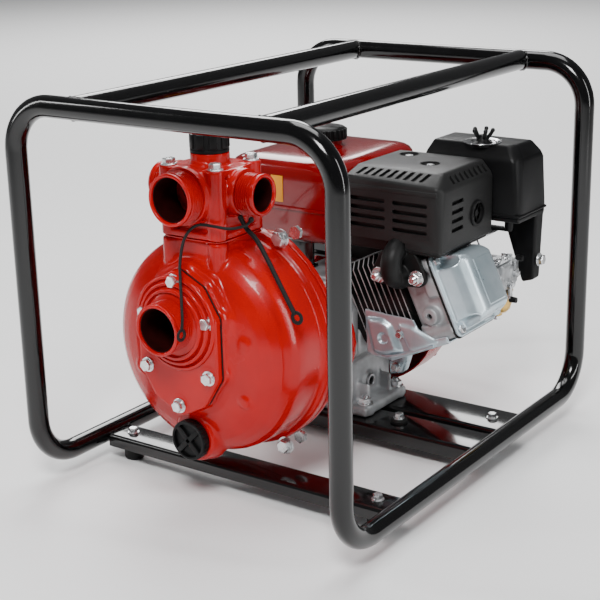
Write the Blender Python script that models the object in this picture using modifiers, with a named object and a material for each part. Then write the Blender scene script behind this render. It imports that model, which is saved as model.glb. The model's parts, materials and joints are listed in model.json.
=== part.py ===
"""Engine-driven centrifugal water pump in a tubular carrying frame.

Sizes are in millimetres and are turned into metres where a shape is made. X runs across the frame, with
the engine's cylinder leaning towards +X. The pump faces -Y and the recoil starter faces +Y. Z is up from
the floor that the rubber feet stand on, and the origin is at the middle of the frame on that floor.
"""

import math

import bmesh
import bpy
from mathutils import Matrix, Vector

MM = 0.001
GAP = 0.3                      # clearance kept between pieces that touch

# Tubular frame
TUBE_R = 12.5
HALF_W = 216.0
HALF_D = 286.0
LOW_Z = 31.0
TOP_Z = 466.0
BEND_R = 55.0
SEAM_Y = 32.0
RAIL_X = 127.5

# Pump
PUMP_X = -30.0
SHAFT_Z = 139.0
CASING_Z = 186.0
CASING_R = 129.0
CASING_BACK = -127.0
COVER_Z = 203.0
COVER_BACK = -233.3
COVER_FRONT = -243.0
PORT_Z = 228.0
PORT_FRONT = -277.0
BIG_PORT_R, BIG_BORE_R = 29.7, 25.4
SMALL_PORT_R, SMALL_BORE_R = 23.5, 19.0
MANIFOLD_Y = -171.0
MANIFOLD_PORT_Z = 367.5
MANIFOLD_TOP = 397.0
MANIFOLD_BASE = 318.0
COLUMN = 32.6
LUG_R = 145.0
DRAIN_Z = 82.0

# Engine
CRANK_X = -30.0
TILT = 25.0                    # the cylinder's angle above level
CYL_Y = 80.0
BORE_R = 34.0
CRANK_THROW = 27.0
BASE_TOP = 48.0
DECK = 33.0                    # top of the cross-members

MATERIALS = {
    "frame_black": ((0.012, 0.012, 0.013), 0.22, 0.0),
    "zinc": ((0.62, 0.63, 0.64), 0.3, 1.0),
    "steel": ((0.42, 0.42, 0.43), 0.35, 1.0),
    "pump_red": ((0.62, 0.012, 0.016), 0.2, 0.0),
    "tank_red": ((0.5, 0.008, 0.015), 0.15, 0.0),
    "rubber": ((0.02, 0.02, 0.02), 0.7, 0.0),
    "black_plastic": ((0.03, 0.03, 0.032), 0.45, 0.0),
    "cast_aluminium": ((0.45, 0.46, 0.47), 0.45, 0.8),
    "fin_black": ((0.03, 0.03, 0.03), 0.5, 0.4),
    "zinc_blue": ((0.55, 0.63, 0.68), 0.28, 0.9),
    "brass": ((0.62, 0.42, 0.13), 0.3, 1.0),
    "filter_foam": ((0.3, 0.26, 0.16), 0.9, 0.0),
    "gasket": ((0.03, 0.028, 0.026), 0.8, 0.0),
}

FRONT = Matrix.Rotation(math.radians(90), 4, "X")    # turns a local +Z to face -Y
BACK = Matrix.Rotation(math.radians(-90), 4, "X")    # turns a local +Z to face +Y
RIGHT = Matrix.Rotation(math.radians(90), 4, "Y")    # turns a local +Z to face +X
LEFT = Matrix.Rotation(math.radians(-90), 4, "Y")    # turns a local +Z to face -X
UP = Matrix.Identity(4)
ENGINE = (Matrix.Translation(Vector((CRANK_X, 0, SHAFT_Z)) * MM)
          @ Matrix.Rotation(math.radians(-TILT), 4, "Y"))    # x along the cylinder, z across it


# ---- scene -------------------------------------------------------------------------------------

def clear_scene():
    for obj in list(bpy.data.objects):
        bpy.data.objects.remove(obj, do_unlink=True)


def new_collection(name):
    group = bpy.data.collections.new(name)
    bpy.context.scene.collection.children.link(group)
    return group


def move_to(obj, group):
    for other in list(obj.users_collection):
        other.objects.unlink(obj)
    group.objects.link(obj)


def make_material(name):
    colour, roughness, metallic = MATERIALS[name]
    material = bpy.data.materials.new(name)
    material.use_nodes = True
    shader = material.node_tree.nodes["Principled BSDF"]
    shader.inputs["Base Color"].default_value = (*colour, 1.0)
    shader.inputs["Roughness"].default_value = roughness
    shader.inputs["Metallic"].default_value = metallic
    material.diffuse_color = (*colour, 1.0)
    return material


# ---- shape helpers -----------------------------------------------------------------------------

def point(x, y, z):
    return Vector((x, y, z)) * MM


def linked(name, data):
    obj = bpy.data.objects.new(name, data)
    bpy.context.scene.collection.objects.link(obj)
    return obj


def as_mesh(obj, matrix=None):
    """The evaluated shape as a plain welded mesh object in world space; the original is removed."""
    bpy.context.view_layer.update()
    graph = bpy.context.evaluated_depsgraph_get()
    mesh = bpy.data.meshes.new_from_object(obj.evaluated_get(graph))
    mesh.transform((matrix or Matrix.Identity(4)) @ obj.matrix_world)
    name = obj.name
    bpy.data.objects.remove(obj, do_unlink=True)
    work = bmesh.new()
    work.from_mesh(mesh)
    bmesh.ops.remove_doubles(work, verts=work.verts, dist=0.00001)
    bmesh.ops.recalc_face_normals(work, faces=work.faces)
    work.to_mesh(mesh)
    work.free()
    return linked(name, mesh)


def block(name, low, high, bevel=0.0, matrix=None):
    bpy.ops.mesh.primitive_cube_add(size=1, location=(point(*low) + point(*high)) / 2)
    obj = bpy.context.object
    obj.name = name
    obj.data.transform(Matrix.Diagonal((*(point(*high) - point(*low)), 1)))
    if bevel:
        rounding = obj.modifiers.new("rounding", "BEVEL")
        rounding.width = bevel * MM
        rounding.segments = 2
    return as_mesh(obj, matrix)


def rod(name, start, end, radius, sides=20, end_radius=None, matrix=None):
    start, end = point(*start), point(*end)
    work = bmesh.new()
    bmesh.ops.create_cone(
        work, cap_ends=True, segments=sides, radius1=radius * MM,
        radius2=(radius if end_radius is None else end_radius) * MM, depth=(end - start).length)
    mesh = bpy.data.meshes.new(name)
    work.to_mesh(mesh)
    work.free()
    turn = (end - start).to_track_quat("Z", "Y").to_matrix().to_4x4()
    mesh.transform((matrix or Matrix.Identity(4)) @ Matrix.Translation((start + end) / 2) @ turn)
    return linked(name, mesh)


def turned(name, profile, origin, facing=UP, steps=28, closed=False, matrix=None):
    """A turned shape: profile of (radius, height), down the outer side and back up any inner side."""
    work = bmesh.new()
    corners = [work.verts.new((radius * MM, 0, height * MM)) for radius, height in profile]
    pairs = list(zip(corners, corners[1:] + corners[:1] if closed else corners[1:]))
    for first, second in pairs:
        work.edges.new((first, second))
    mesh = bpy.data.meshes.new(name)
    work.to_mesh(mesh)
    work.free()
    obj = linked(name, mesh)
    screw = obj.modifiers.new("turn", "SCREW")
    screw.steps = screw.render_steps = steps
    screw.use_merge_vertices = True
    screw.merge_threshold = 0.00001
    obj.matrix_world = Matrix.Translation(point(*origin)) @ facing
    return as_mesh(obj, matrix)


def tube(name, points, radius, roundness=2, matrix=None):
    """A round bar along points, as a curve with filled ends."""
    curve = bpy.data.curves.new(name, "CURVE")
    curve.dimensions = "3D"
    curve.bevel_depth = radius * MM
    curve.bevel_resolution = roundness
    curve.use_fill_caps = True
    spline = curve.splines.new("POLY")
    spline.points.add(len(points) - 1)
    for target, place in zip(spline.points, points):
        target.co = (*point(*place), 1)
    return as_mesh(linked(name, curve), matrix)


def plate(name, outlines, low, high, facing=UP, origin=(0, 0, 0), matrix=None):
    """A flat outline, with any further outlines as holes, from height low to high along its facing."""
    curve = bpy.data.curves.new(name, "CURVE")
    curve.dimensions = "2D"
    curve.fill_mode = "BOTH"
    curve.extrude = (high - low) / 2 * MM
    for outline in outlines:
        spline = curve.splines.new("POLY")
        spline.points.add(len(outline) - 1)
        spline.use_cyclic_u = True
        for target, (x, y) in zip(spline.points, outline):
            target.co = (x * MM, y * MM, 0, 1)
    obj = linked(name, curve)
    middle = Matrix.Translation(Vector((0, 0, (low + high) / 2 * MM)))
    obj.matrix_world = Matrix.Translation(point(*origin)) @ facing @ middle
    return as_mesh(obj, matrix)


def ring(name, centre, facing, big, small, around=24, across=8):
    bpy.ops.mesh.primitive_torus_add(
        major_segments=around, minor_segments=across, major_radius=big * MM, minor_radius=small * MM)
    obj = bpy.context.object
    obj.name = name
    obj.matrix_world = Matrix.Translation(point(*centre)) @ facing
    return as_mesh(obj)


def circle(x, y, radius, sides=24):
    angles = [math.tau * step / sides for step in range(sides)]
    return [(x + radius * math.cos(a), y + radius * math.sin(a)) for a in angles]


def rounded(corners, radius, steps=3):
    """An outline at a distance radius outside a convex polygon, whose corners run anticlockwise."""
    outline = []
    count = len(corners)
    for index, (x, y) in enumerate(corners):
        before = corners[index - 1]
        after = corners[(index + 1) % count]
        first = math.atan2(x - before[0], before[1] - y)
        last = math.atan2(after[0] - x, y - after[1])
        first, last = first + math.pi, last + math.pi
        while last < first:
            last += math.tau
        for step in range(steps + 1):
            angle = first + (last - first) * step / steps
            outline.append((x + radius * math.cos(angle), y + radius * math.sin(angle)))
    return outline


def rectangle(x0, y0, x1, y1, radius, steps=3):
    r = radius
    return rounded([(x0 + r, y0 + r), (x1 - r, y0 + r), (x1 - r, y1 - r), (x0 + r, y1 - r)], r, steps)


def joined(base, extras):
    """Boolean unions, kept as modifiers on the base."""
    return with_booleans(base, extras, "UNION")


def cut(base, cutters):
    return with_booleans(base, cutters, "DIFFERENCE")


def with_booleans(base, others, operation):
    for other in others:
        modifier = base.modifiers.new(f"{operation.lower()} {other.name}", "BOOLEAN")
        modifier.operation = operation
        modifier.solver = "EXACT"
        modifier.object = other
        other.hide_render = True
        other.display_type = "WIRE"
        move_to(other, CUTTERS)
    return base


def finished(obj, name, material):
    """Name a part, give it its material and smooth its round faces."""
    obj = as_mesh(obj)
    obj.name = obj.data.name = name
    obj.data.materials.clear()
    obj.data.materials.append(MADE[material])
    obj.data.shade_smooth()
    obj.data.set_sharp_from_angle(angle=math.radians(35))
    move_to(obj, PARTS)
    return obj


def arc(centre, radius, start, end, plane_a, plane_b, steps=6):
    """Points on an arc about centre, in the plane of the unit vectors plane_a and plane_b, in degrees."""
    centre, a, b = Vector(centre), Vector(plane_a), Vector(plane_b)
    angles = [math.radians(start + (end - start) * step / steps) for step in range(steps + 1)]
    return [tuple(centre + radius * (math.cos(t) * a + math.sin(t) * b)) for t in angles]


# ---- frame -------------------------------------------------------------------------------------

def hoop_path(side):
    """Half of the cage: two bottom rails that bend up into an upright arch. side is -1 front, 1 back."""
    start_y = SEAM_Y + (GAP if side > 0 else 0)
    y_bend = side * (HALF_D - BEND_R)
    path = [(HALF_W, start_y, LOW_Z)]
    path += arc((HALF_W, y_bend, LOW_Z + BEND_R), BEND_R, -90, 0, (0, side, 0), (0, 0, 1))
    path += arc((HALF_W - BEND_R, side * HALF_D, TOP_Z - BEND_R), BEND_R, 0, 90, (1, 0, 0), (0, 0, 1))
    mirrored = [(-x, y, z) for x, y, z in path]
    return path + mirrored[::-1]


def make_frame():
    for name, side in (("front_hoop", -1), ("rear_hoop", 1)):
        finished(tube("hoop", hoop_path(side), TUBE_R, 3), name, "frame_black")
    for name, x in (("top_rail_left", -RAIL_X), ("top_rail_right", RAIL_X)):
        rail = rod("rail", (x, -HALF_D + 2, TOP_Z), (x, HALF_D - 2, TOP_Z), TUBE_R, 16)
        saddles = [rod("saddle", (x - 20, y, TOP_Z), (x + 20, y, TOP_Z), TUBE_R + GAP + 0.1, 32)
                   for y in (-HALF_D, HALF_D)]
        finished(cut(rail, saddles), name, "frame_black")


def make_channel(name, y0, y1, front_lip, back_lip, thickness=3.0):
    """A pressed channel across the frame, open below, between the two bottom rails."""
    end = HALF_W - TUBE_R - GAP
    top = DECK
    outline = [(y0, top), (y0, top - front_lip), (y0 + thickness, top - front_lip),
               (y0 + thickness, top - thickness), (y1 - thickness, top - thickness),
               (y1 - thickness, top - back_lip), (y1, top - back_lip), (y1, top)]
    across = Matrix.Rotation(math.radians(90), 4, "Z") @ Matrix.Rotation(math.radians(90), 4, "X")
    channel = plate("channel", [outline], -end, end, across)
    return finished(channel, name, "frame_black")


def make_base():
    make_channel("front_crossmember", -181, -138, 15, 15)
    make_channel("engine_crossmember_front", 20, 76, 19, 14)
    make_channel("engine_crossmember_rear", 88, 156, 14, 14)
    foot = [(0, 29.7), (14, 29.7), (14, 18), (12, 1.5), (10.5, 0), (0, 0)]
    for name, x, y in (("foot_front_left", -181, -159.5), ("foot_front_right", 181, -159.5),
                       ("foot_rear_left", -178, 122), ("foot_rear_right", 178, 122)):
        finished(turned("foot", foot, (x, y, 0), steps=16), name, "rubber")


# ---- pump --------------------------------------------------------------------------------------

COVER_BOLTS = [(0, 73.3), (-44.1, 32), (-44.1, -32), (0, -73.3), (44.1, -32), (44.1, 32)]
COVER_EDGE = [(0, 73.3), (-27, 60), (-44.1, 32), (-44.1, -32), (-27, -60), (0, -73.3), (27, -60),
              (44.1, -32), (44.1, 32), (27, 60)]


def cover_outline(margin, steps=4):
    return rounded(COVER_EDGE, margin, steps)


def mouth_outline():
    """The opening inside the ring of cover bolts."""
    return rounded([(x * 0.82, y * 0.82) for x, y in COVER_BOLTS], 6, 4)


def manifold_outline():
    half = 37
    return rectangle(-half, -half, half, half, 8)


def columns(low, high):
    spots = [(x, y) for x in (-COLUMN, COLUMN) for y in (-COLUMN, COLUMN)]
    return [rod("column", (PUMP_X + x, MANIFOLD_Y + y, low), (PUMP_X + x, MANIFOLD_Y + y, high), 11, 16)
            for x, y in spots]


def lugs(front, back):
    """Four ears on the joint between the casing and the adapter."""
    ears = []
    for degrees in (60, 120, 240, 300):
        x = PUMP_X + LUG_R * math.cos(math.radians(degrees))
        z = CASING_Z + LUG_R * math.sin(math.radians(degrees))
        ears.append(rod("ear", (x, front, z), (x, back, z), 14, 16))
    return ears


def make_casing():
    outer = [(0, 224), (62, 223), (96, 217), (116, 207), (126, 197), (CASING_R, 184), (CASING_R, 145),
             (137, 140), (137, -CASING_BACK)]
    inner = [(123, -CASING_BACK), (123, 184), (113, 200), (92, 210), (60, 216), (0, 217)]
    casing = turned("bell", outer + inner, (PUMP_X, 0, CASING_Z), FRONT, 40)
    pad = plate("pad", [cover_outline(13)], 215, 231.5, FRONT, (PUMP_X, 0, COVER_Z))
    neck = plate("neck", [manifold_outline()], 285, 319, UP, (PUMP_X, MANIFOLD_Y, 0))
    boss = rod("drain_boss", (PUMP_X, -221.5, DRAIN_Z), (PUMP_X, -198, DRAIN_Z), 27, 24)
    casing = joined(casing, [pad, neck, *columns(288, 319), boss, *lugs(-140, CASING_BACK)])
    mouth = plate("mouth", [mouth_outline()], 190, 240, FRONT, (PUMP_X, 0, COVER_Z))
    riser = plate("riser", [rectangle(-24, -24, 24, 24, 8)], 250, 330, UP, (PUMP_X, MANIFOLD_Y, 0))
    drain = rod("drain", (PUMP_X, -230, DRAIN_Z), (PUMP_X, -170, DRAIN_Z), 15.6, 20)
    level = block("level", (PUMP_X - 50, -240, 316.2), (PUMP_X + 50, -100, 345))
    finished(cut(casing, [level, mouth, riser, drain]), "pump_casing", "pump_red")


def make_suction_cover():
    cover = plate("cover", [cover_outline(12)], -COVER_BACK, -COVER_FRONT, FRONT, (PUMP_X, 0, COVER_Z))
    port = rod("port", (PUMP_X, -238, PORT_Z), (PUMP_X, PORT_FRONT, PORT_Z), BIG_PORT_R, 28)
    collar = rod("collar", (PUMP_X, -238, PORT_Z), (PUMP_X, -249, PORT_Z), 36, 28)
    bore = rod("bore", (PUMP_X, -200, PORT_Z), (PUMP_X, -300, PORT_Z), BIG_BORE_R, 28)
    finished(cut(joined(cover, [collar, port]), [bore]), "suction_cover", "pump_red")
    outlines = [cover_outline(12), mouth_outline()]
    finished(plate("gasket", outlines, 231.8, 233, FRONT, (PUMP_X, 0, COVER_Z)), "cover_gasket", "gasket")
    flap = rod("flap", (PUMP_X, -230.5, PORT_Z), (PUMP_X, -226.5, PORT_Z), 27, 24)
    tab = block("tab", (PUMP_X - 5, -230.5, PORT_Z + 20), (PUMP_X + 5, -226.5, PORT_Z + 32))
    finished(joined(flap, [tab]), "check_valve_flap", "rubber")


def make_manifold():
    port_y, side_y = MANIFOLD_Y, MANIFOLD_Y
    body = plate("body", [manifold_outline()], MANIFOLD_BASE, MANIFOLD_TOP - 3, UP, (PUMP_X, port_y, 0))
    centre = (PUMP_X, side_y, MANIFOLD_PORT_Z)
    front = rod("front", centre, (PUMP_X, -245, MANIFOLD_PORT_Z), BIG_PORT_R, 28)
    right = rod("right", centre, (44, side_y, MANIFOLD_PORT_Z), SMALL_PORT_R, 24)
    left = rod("left", centre, (-104, side_y, MANIFOLD_PORT_Z), SMALL_PORT_R, 24)
    neck = rod("neck", (PUMP_X, side_y, 380), (PUMP_X, side_y, 405), 23, 24)
    body = joined(body, [*columns(MANIFOLD_BASE, MANIFOLD_TOP), front, right, left, neck])
    bores = [rod("bore", centre, (PUMP_X, -260, MANIFOLD_PORT_Z), BIG_BORE_R, 28),
             rod("bore", (-120, side_y, MANIFOLD_PORT_Z), (60, side_y, MANIFOLD_PORT_Z), SMALL_BORE_R, 24),
             rod("bore", (PUMP_X, side_y, 370), (PUMP_X, side_y, 420), 18.4, 24),
             rod("bore", (PUMP_X, side_y, 300), (PUMP_X, side_y, 368), 26, 24)]
    finished(cut(body, bores), "outlet_manifold", "pump_red")
    outlines = [rectangle(-42, -42, 42, 42, 12), circle(0, 0, 26.5)]
    gasket = plate("gasket", outlines, 316.5, 317.7, UP, (PUMP_X, side_y, 0))
    finished(gasket, "manifold_gasket", "gasket")
    cap = [(0, 432), (19, 432), (22.3, 429), (22.3, 405.3), (17.6, 405.3), (17.6, 393), (0, 393)]
    finished(turned("cap", cap, (PUMP_X, side_y, 0)), "priming_cap", "black_plastic")
    plug = [(0, 233), (22, 233), (24, 231), (24, 221.8), (15, 221.8), (15, 202), (0, 202)]
    finished(turned("plug", plug, (PUMP_X, 0, DRAIN_Z), FRONT), "drain_plug", "black_plastic")


def smooth_route(points, spacing=6.0):
    """A route read from a Catmull-Rom curve through its own points."""
    ends = [Vector(points[0]) * 2 - Vector(points[1]), Vector(points[-1]) * 2 - Vector(points[-2])]
    knots = [ends[0], *map(Vector, points), ends[1]]
    route = []
    for a, b, c, d in zip(knots, knots[1:], knots[2:], knots[3:]):
        steps = max(2, round((c - b).length / spacing))
        for step in range(steps):
            t = step / steps
            route.append(tuple(0.5 * (2 * b + (c - a) * t + (2 * a - 5 * b + 4 * c - d) * t ** 2
                                      + (3 * b - a - 3 * c + d) * t ** 3)))
    return route + [tuple(points[-1])]


STRAPS = {
    # name: strap radius, route of the strap from its knot at the port's root, eye centre, eye facing
    "strap_front": (1.7, [(37, -187, 342.4), (37, -197, 338), (29, -214, 337), (12, -221, 339),
                          (-5, -224, 339.5), (-14.5, -229, 334), (-18.5, -237, 322), (-13, -251, 302),
                          (-7, -259, 284), (0, -267, 264), (5, -273, 246), (6, -276, 236)],
                    (6, -277, 229.6), RIGHT),
    "strap_right": (2.7, [(22, -186, 342.4), (31, -188, 332), (47, -191, 321.5), (62, -194, 304),
                          (78, -196, 281), (93, -197, 258), (99.3, -197, 248.2)],
                    (102.6, -197, 243.4), FRONT),
    "strap_left": (1.7, [(-84, -180, 340.6), (-94, -174, 332), (-110, -160, 317), (-126, -141, 304),
                         (-142, -118, 288), (-158, -107, 268), (-174, -104, 246), (-183, -104, 226)],
                   (-186, -104, 219.6), FRONT),
}


def make_straps():
    for name, (radius, route, eye, eye_facing) in STRAPS.items():
        strap = tube("strap", smooth_route(route), radius, 2)
        end = ring("eye", eye, eye_facing, 5.2, 1.9, 16, 8)
        knot = turned("knot", [(0, 3.4), (2.4, 2.4), (3.4, 0), (2.4, -2.4), (0, -3.4)], route[0], steps=14)
        finished(joined(strap, [end, knot]), name, "rubber")


def make_adapter():
    """A bell between the casing's big joint and the engine's lower, smaller shaft flange."""
    front, back = 126.7, -19.6
    outer = [(137, front), (137, 116), (118, 112), (70, 0), (70, back)]
    inner = [(60, back), (60, 0), (106, 106), (106, 117), (0, 117)]
    drop = (CASING_Z - SHAFT_Z) / 112
    bell = turned("bell", [(0, front)] + outer + inner, (PUMP_X, 0, CASING_Z), FRONT, 36)
    lean_mesh(bell.data, drop)
    bell = joined(bell, lugs(-front, -116))
    hole = rod("hole", (PUMP_X, -140, SHAFT_Z), (PUMP_X, -100, SHAFT_Z), 21, 24)
    notch = block("notch", (PUMP_X - 50, -150, 312), (PUMP_X + 50, -90, 340))
    finished(cut(bell, [hole, notch]), "pump_adapter", "pump_red")


def lean_mesh(mesh, drop):
    """Lower the part of the bell behind its front flange step by step towards the shaft's height."""
    for vertex in mesh.vertices:
        behind = min(max(112 - (-vertex.co.y / MM), 0), 112)
        vertex.co.z -= drop * behind * MM


def make_rotor():
    """Impeller, shaft seal and the inner volute round them."""
    shaft = (PUMP_X, 0, SHAFT_Z)
    disc = turned("disc", [(0, 180), (10, 178), (17, 163), (55, 161), (55, 157), (17, 157), (17, 152.5),
                           (12.4, 152.5), (12.4, 160), (0, 160)], shaft, FRONT, 32)
    vanes = []
    for turn in range(5):
        angle = math.tau * turn / 5
        spin = Matrix.Rotation(angle, 4, "Y")
        sweep = [(12 + 7 * k, 0.16 * 7 * k * k / 2) for k in range(7)]
        left = [(x, y + 1.3) for x, y in sweep]
        right = [(x, y - 1.3) for x, y in sweep]
        place = Matrix.Translation(point(*shaft)) @ spin
        vanes.append(plate("vane", [right + left[::-1]], 159, 172, FRONT, (0, 0, 0), place))
    finished(joined(disc, vanes), "impeller", "cast_aluminium")
    seal = [(20, 150), (20, 131), (13, 131), (13, 150)]
    finished(turned("seal", seal, shaft, FRONT, 24, True), "shaft_seal", "rubber")
    cup = [(26, 190), (60, 186), (65, 178), (65, 127.3), (62, 127.3), (62, 176), (58, 182), (26, 186)]
    finished(turned("volute", cup, shaft, FRONT, 32, True), "inner_volute", "cast_aluminium")


# ---- engine ------------------------------------------------------------------------------------

def make_block():
    """Base flange, crankcase and finned cylinder in one casting, open at the pump end and at the head."""
    case = plate("case", [[(-102, 40), (16, 40), (16, 100), (34, 118), (34, 180), (0, 213), (-68, 213),
                           (-102, 182)]], -140, -34.3, FRONT)
    flange = block("flange", (-140, 32, DECK + GAP), (45, 136, BASE_TOP), 0)
    barrel = rod("barrel", (30, CYL_Y, 0), (148, CYL_Y, 0), 45, 24, matrix=ENGINE)
    fins = [block("fin", (t, CYL_Y - 47, -52), (t + 3.2, CYL_Y + 47, 52), 0, ENGINE)
            for t in (76, 87, 98, 109, 120, 131, 142)]
    casting = joined(case, [flange, barrel, *fins])
    chamber = rod("chamber", (CRANK_X, 20, SHAFT_Z), (CRANK_X, 128, SHAFT_Z), 41.5, 28)
    sump = block("sump", (-96, 20, 54), (10, 128, 110))
    bore = rod("bore", (0, CYL_Y, 0), (160, CYL_Y, 0), BORE_R, 28, matrix=ENGINE)
    bearing = rod("bearing", (CRANK_X, 100, SHAFT_Z), (CRANK_X, 150, SHAFT_Z), 12.6, 24)
    filler = rod("filler", (-120, 60, 82), (-80, 60, 82), 9, 16)
    finished(cut(casting, [chamber, sump, bore, bearing, filler]), "engine_block", "cast_aluminium")
    outline = [(-102, 48.5), (16, 48.5), (16, 100), (34, 118), (34, 180), (0, 213), (-68, 213), (-102, 182)]
    cover = plate("cover", [outline, circle(CRANK_X, SHAFT_Z, 13)], -34, -20, FRONT)
    finished(cover, "crankcase_cover", "cast_aluminium")


def make_head():
    head = block("head", (148.4, CYL_Y - 48, -62), (196.7, CYL_Y + 48, 42), 3, ENGINE)
    groove = [block("groove", (t, CYL_Y - 60, low), (t + 6, CYL_Y + 60, high), 0, ENGINE)
              for t in (158, 170, 182) for low, high in ((26, 60), (-80, -50))]
    finished(cut(head, groove), "cylinder_head", "cast_aluminium")
    rim = block("rim", (197, CYL_Y - 48, -63), (203, CYL_Y + 48, 43), 2, ENGINE)
    dome = block("dome", (200, CYL_Y - 42, -50), (236, CYL_Y + 42, 30), 9, ENGINE)
    pocket = block("pocket", (190, CYL_Y - 38, -46), (232, CYL_Y + 38, 26), 0, ENGINE)
    finished(cut(joined(rim, [dome]), [pocket]), "valve_cover", "zinc_blue")
    under = block("under", (92, CYL_Y - 50, -65.6), (187, CYL_Y + 50, -62.6), 0, ENGINE)
    skirt_edge = [(66, -44), (74, -53), (92, -61), (116, -65.6), (187, -65.6), (187, -55), (164, -54),
                  (152, -44), (150, -24), (115, -7), (87, 8)]
    skirt = plate("skirt", [skirt_edge], -31.5, -28.5, FRONT, (0, 0, 0), ENGINE)
    finished(joined(under, [skirt]), "cylinder_shroud", "zinc_blue")
    plug = [(0, 34), (7, 34), (7, 20), (9.5, 18), (9.5, 8), (7, 8), (7, 0), (0, 0)]
    finished(turned("plug", plug, (136, CYL_Y + 48.4, 172), BACK, 16), "spark_plug", "zinc")


def make_crank_train():
    front = rod("front", (CRANK_X, -159.5, SHAFT_Z), (CRANK_X, 48, SHAFT_Z), 12, 24)
    back = rod("back", (CRANK_X, 94, SHAFT_Z), (CRANK_X, 212, SHAFT_Z), 12, 24)
    throw = SHAFT_Z - CRANK_THROW
    pin = rod("pin", (CRANK_X, 52, throw), (CRANK_X, 92, throw), 12, 20)
    webs = [plate("web", [rounded([(0, 4), (0, -CRANK_THROW), (3, 4)], 13.5, 5)], -high, -low, FRONT,
                  (CRANK_X, 0, SHAFT_Z)) for low, high in ((44, 57), (87, 98))]
    finished(joined(front, [*webs, pin, back]), "crankshaft", "steel")
    piston = turned("piston", [(0, 144), (33.5, 144), (33.5, 98), (29, 98), (29, 136), (0, 136)],
                    (0, 0, 0), UP, 28, False,
                    ENGINE @ Matrix.Translation(point(0, CYL_Y, 0)) @ RIGHT)
    finished(piston, "piston", "cast_aluminium")
    wheel = [(84, -166), (84, -200), (70, -204), (12.4, -204), (12.4, -166)]
    disc = turned("wheel", wheel[::-1], (CRANK_X, 0, SHAFT_Z), FRONT, 32, True)
    finished(disc, "flywheel", "cast_aluminium")


def make_cooling():
    """Blower housing, recoil cover, pulley, and the starting grip on its rope."""
    axis = (CRANK_X, 0, SHAFT_Z)
    shell = [(62, 214), (99, 214), (105, 208), (105, 158), (102, 158), (102, 206), (98, 211), (62, 211)]
    finished(turned("shell", shell, axis, BACK, 36, True), "blower_housing", "pump_red")
    cup = [(0, 262), (60, 262), (82, 252), (92, 236), (92, 214.4), (89.5, 214.4), (89.5, 235),
           (80, 249.6), (59, 259.5), (0, 259.5)]
    cover = turned("cup", cup, axis, BACK, 36)
    guide = rod("guide", place_on_pull(60), place_on_pull(104), 4.5, 12)
    finished(cut(cover, [guide]), "recoil_cover", "pump_red")
    pulley = [(12, 245), (43, 245), (43, 242), (38, 240), (38, 236), (43, 234), (43, 231), (12, 231)]
    finished(turned("pulley", pulley, axis, BACK, 28, True), "starter_pulley", "black_plastic")
    rope = rod("rope", place_on_pull(-8), place_on_pull(112), 2, 10)
    grip = tube("grip", [place_on_pull(108, 0, -26), place_on_pull(106, 0, -14), place_on_pull(105),
                         place_on_pull(106, 0, 14), place_on_pull(108, 0, 26)], 7, 2)
    finished(joined(grip, [rope]), "starter_grip", "black_plastic")
    body = block("body", (-145, 178, 196), (-121, 200, 224), 2)
    finished(body, "switch_box", "black_plastic")
    rocker = block("rocker", (-154, 183, 202), (-145.3, 195, 218), 1.5)
    finished(rocker, "engine_switch", "tank_red")


PULL_TILT = 20.0
PULL_OFFSET = 40.3
PULL_Y = 238.0


def place_on_pull(distance, across=0.0, along_y=0.0):
    """A point on the starting rope's line, which touches the pulley and leaves the cover up to the left."""
    t = math.radians(PULL_TILT)
    forward = Vector((-math.cos(t), 0, math.sin(t)))
    side = Vector((math.sin(t), 0, math.cos(t)))
    base = Vector((CRANK_X, PULL_Y, SHAFT_Z)) + side * (PULL_OFFSET + across)
    return tuple(base + forward * distance + Vector((0, along_y, 0)))


def make_tank():
    x0, y0, x1, y1 = -176, 38, 0, 244
    seam = 296
    upper = plate("upper", [rectangle(x0, y0, x1, y1, 20)], seam + 0.2, 344)
    crown = plate("crown", [rectangle(x0 + 12, y0 + 12, x1 - 12, y1 - 12, 16)], 340, 360)
    lip = plate("lip", [rectangle(x0 - 3, y0 - 3, x1 + 3, y1 + 3, 22)], seam + 0.2, seam + 3)
    neck = rod("neck", (-86, 142, 350), (-86, 142, 367), 22, 24)
    hollow = plate("hollow", [rectangle(x0 + 3, y0 + 3, x1 - 3, y1 - 3, 17)], seam - 10, 340)
    hollow_top = plate("hollow_top", [rectangle(x0 + 16, y0 + 16, x1 - 16, y1 - 16, 14)], 330, 356)
    mouth = rod("mouth", (-86, 142, 345), (-86, 142, 380), 18, 24)
    shell = joined(upper, [crown, lip, neck])
    finished(cut(shell, [hollow, hollow_top, mouth]), "fuel_tank_upper", "tank_red")
    lower = plate("lower", [rectangle(x0 + 1, y0 + 1, x1 - 1, y1 - 1, 20)], 250, seam - 0.2)
    rim = plate("rim", [rectangle(x0 - 3, y0 - 3, x1 + 3, y1 + 3, 22)], seam - 3, seam - 0.2)
    basin = plate("basin", [rectangle(x0 + 4, y0 + 4, x1 - 4, y1 - 4, 17)], 253, seam + 10)
    finished(cut(joined(lower, [rim]), [basin]), "fuel_tank_lower", "tank_red")
    post = block("post", (-96, 60, 213.3), (-52, 130, 249.7), 0)
    arch = block("arch", (-120, 72, 210), (-20, 118, 240), 0)
    finished(cut(post, [arch]), "tank_bracket", "frame_black")
    cap = [(0, 384), (25, 384), (29, 380), (29, 367.3), (22.5, 367.3), (17, 367.3), (17, 361), (0, 361)]
    finished(turned("cap", cap, (-86, 142, 0)), "fuel_cap", "black_plastic")


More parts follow.
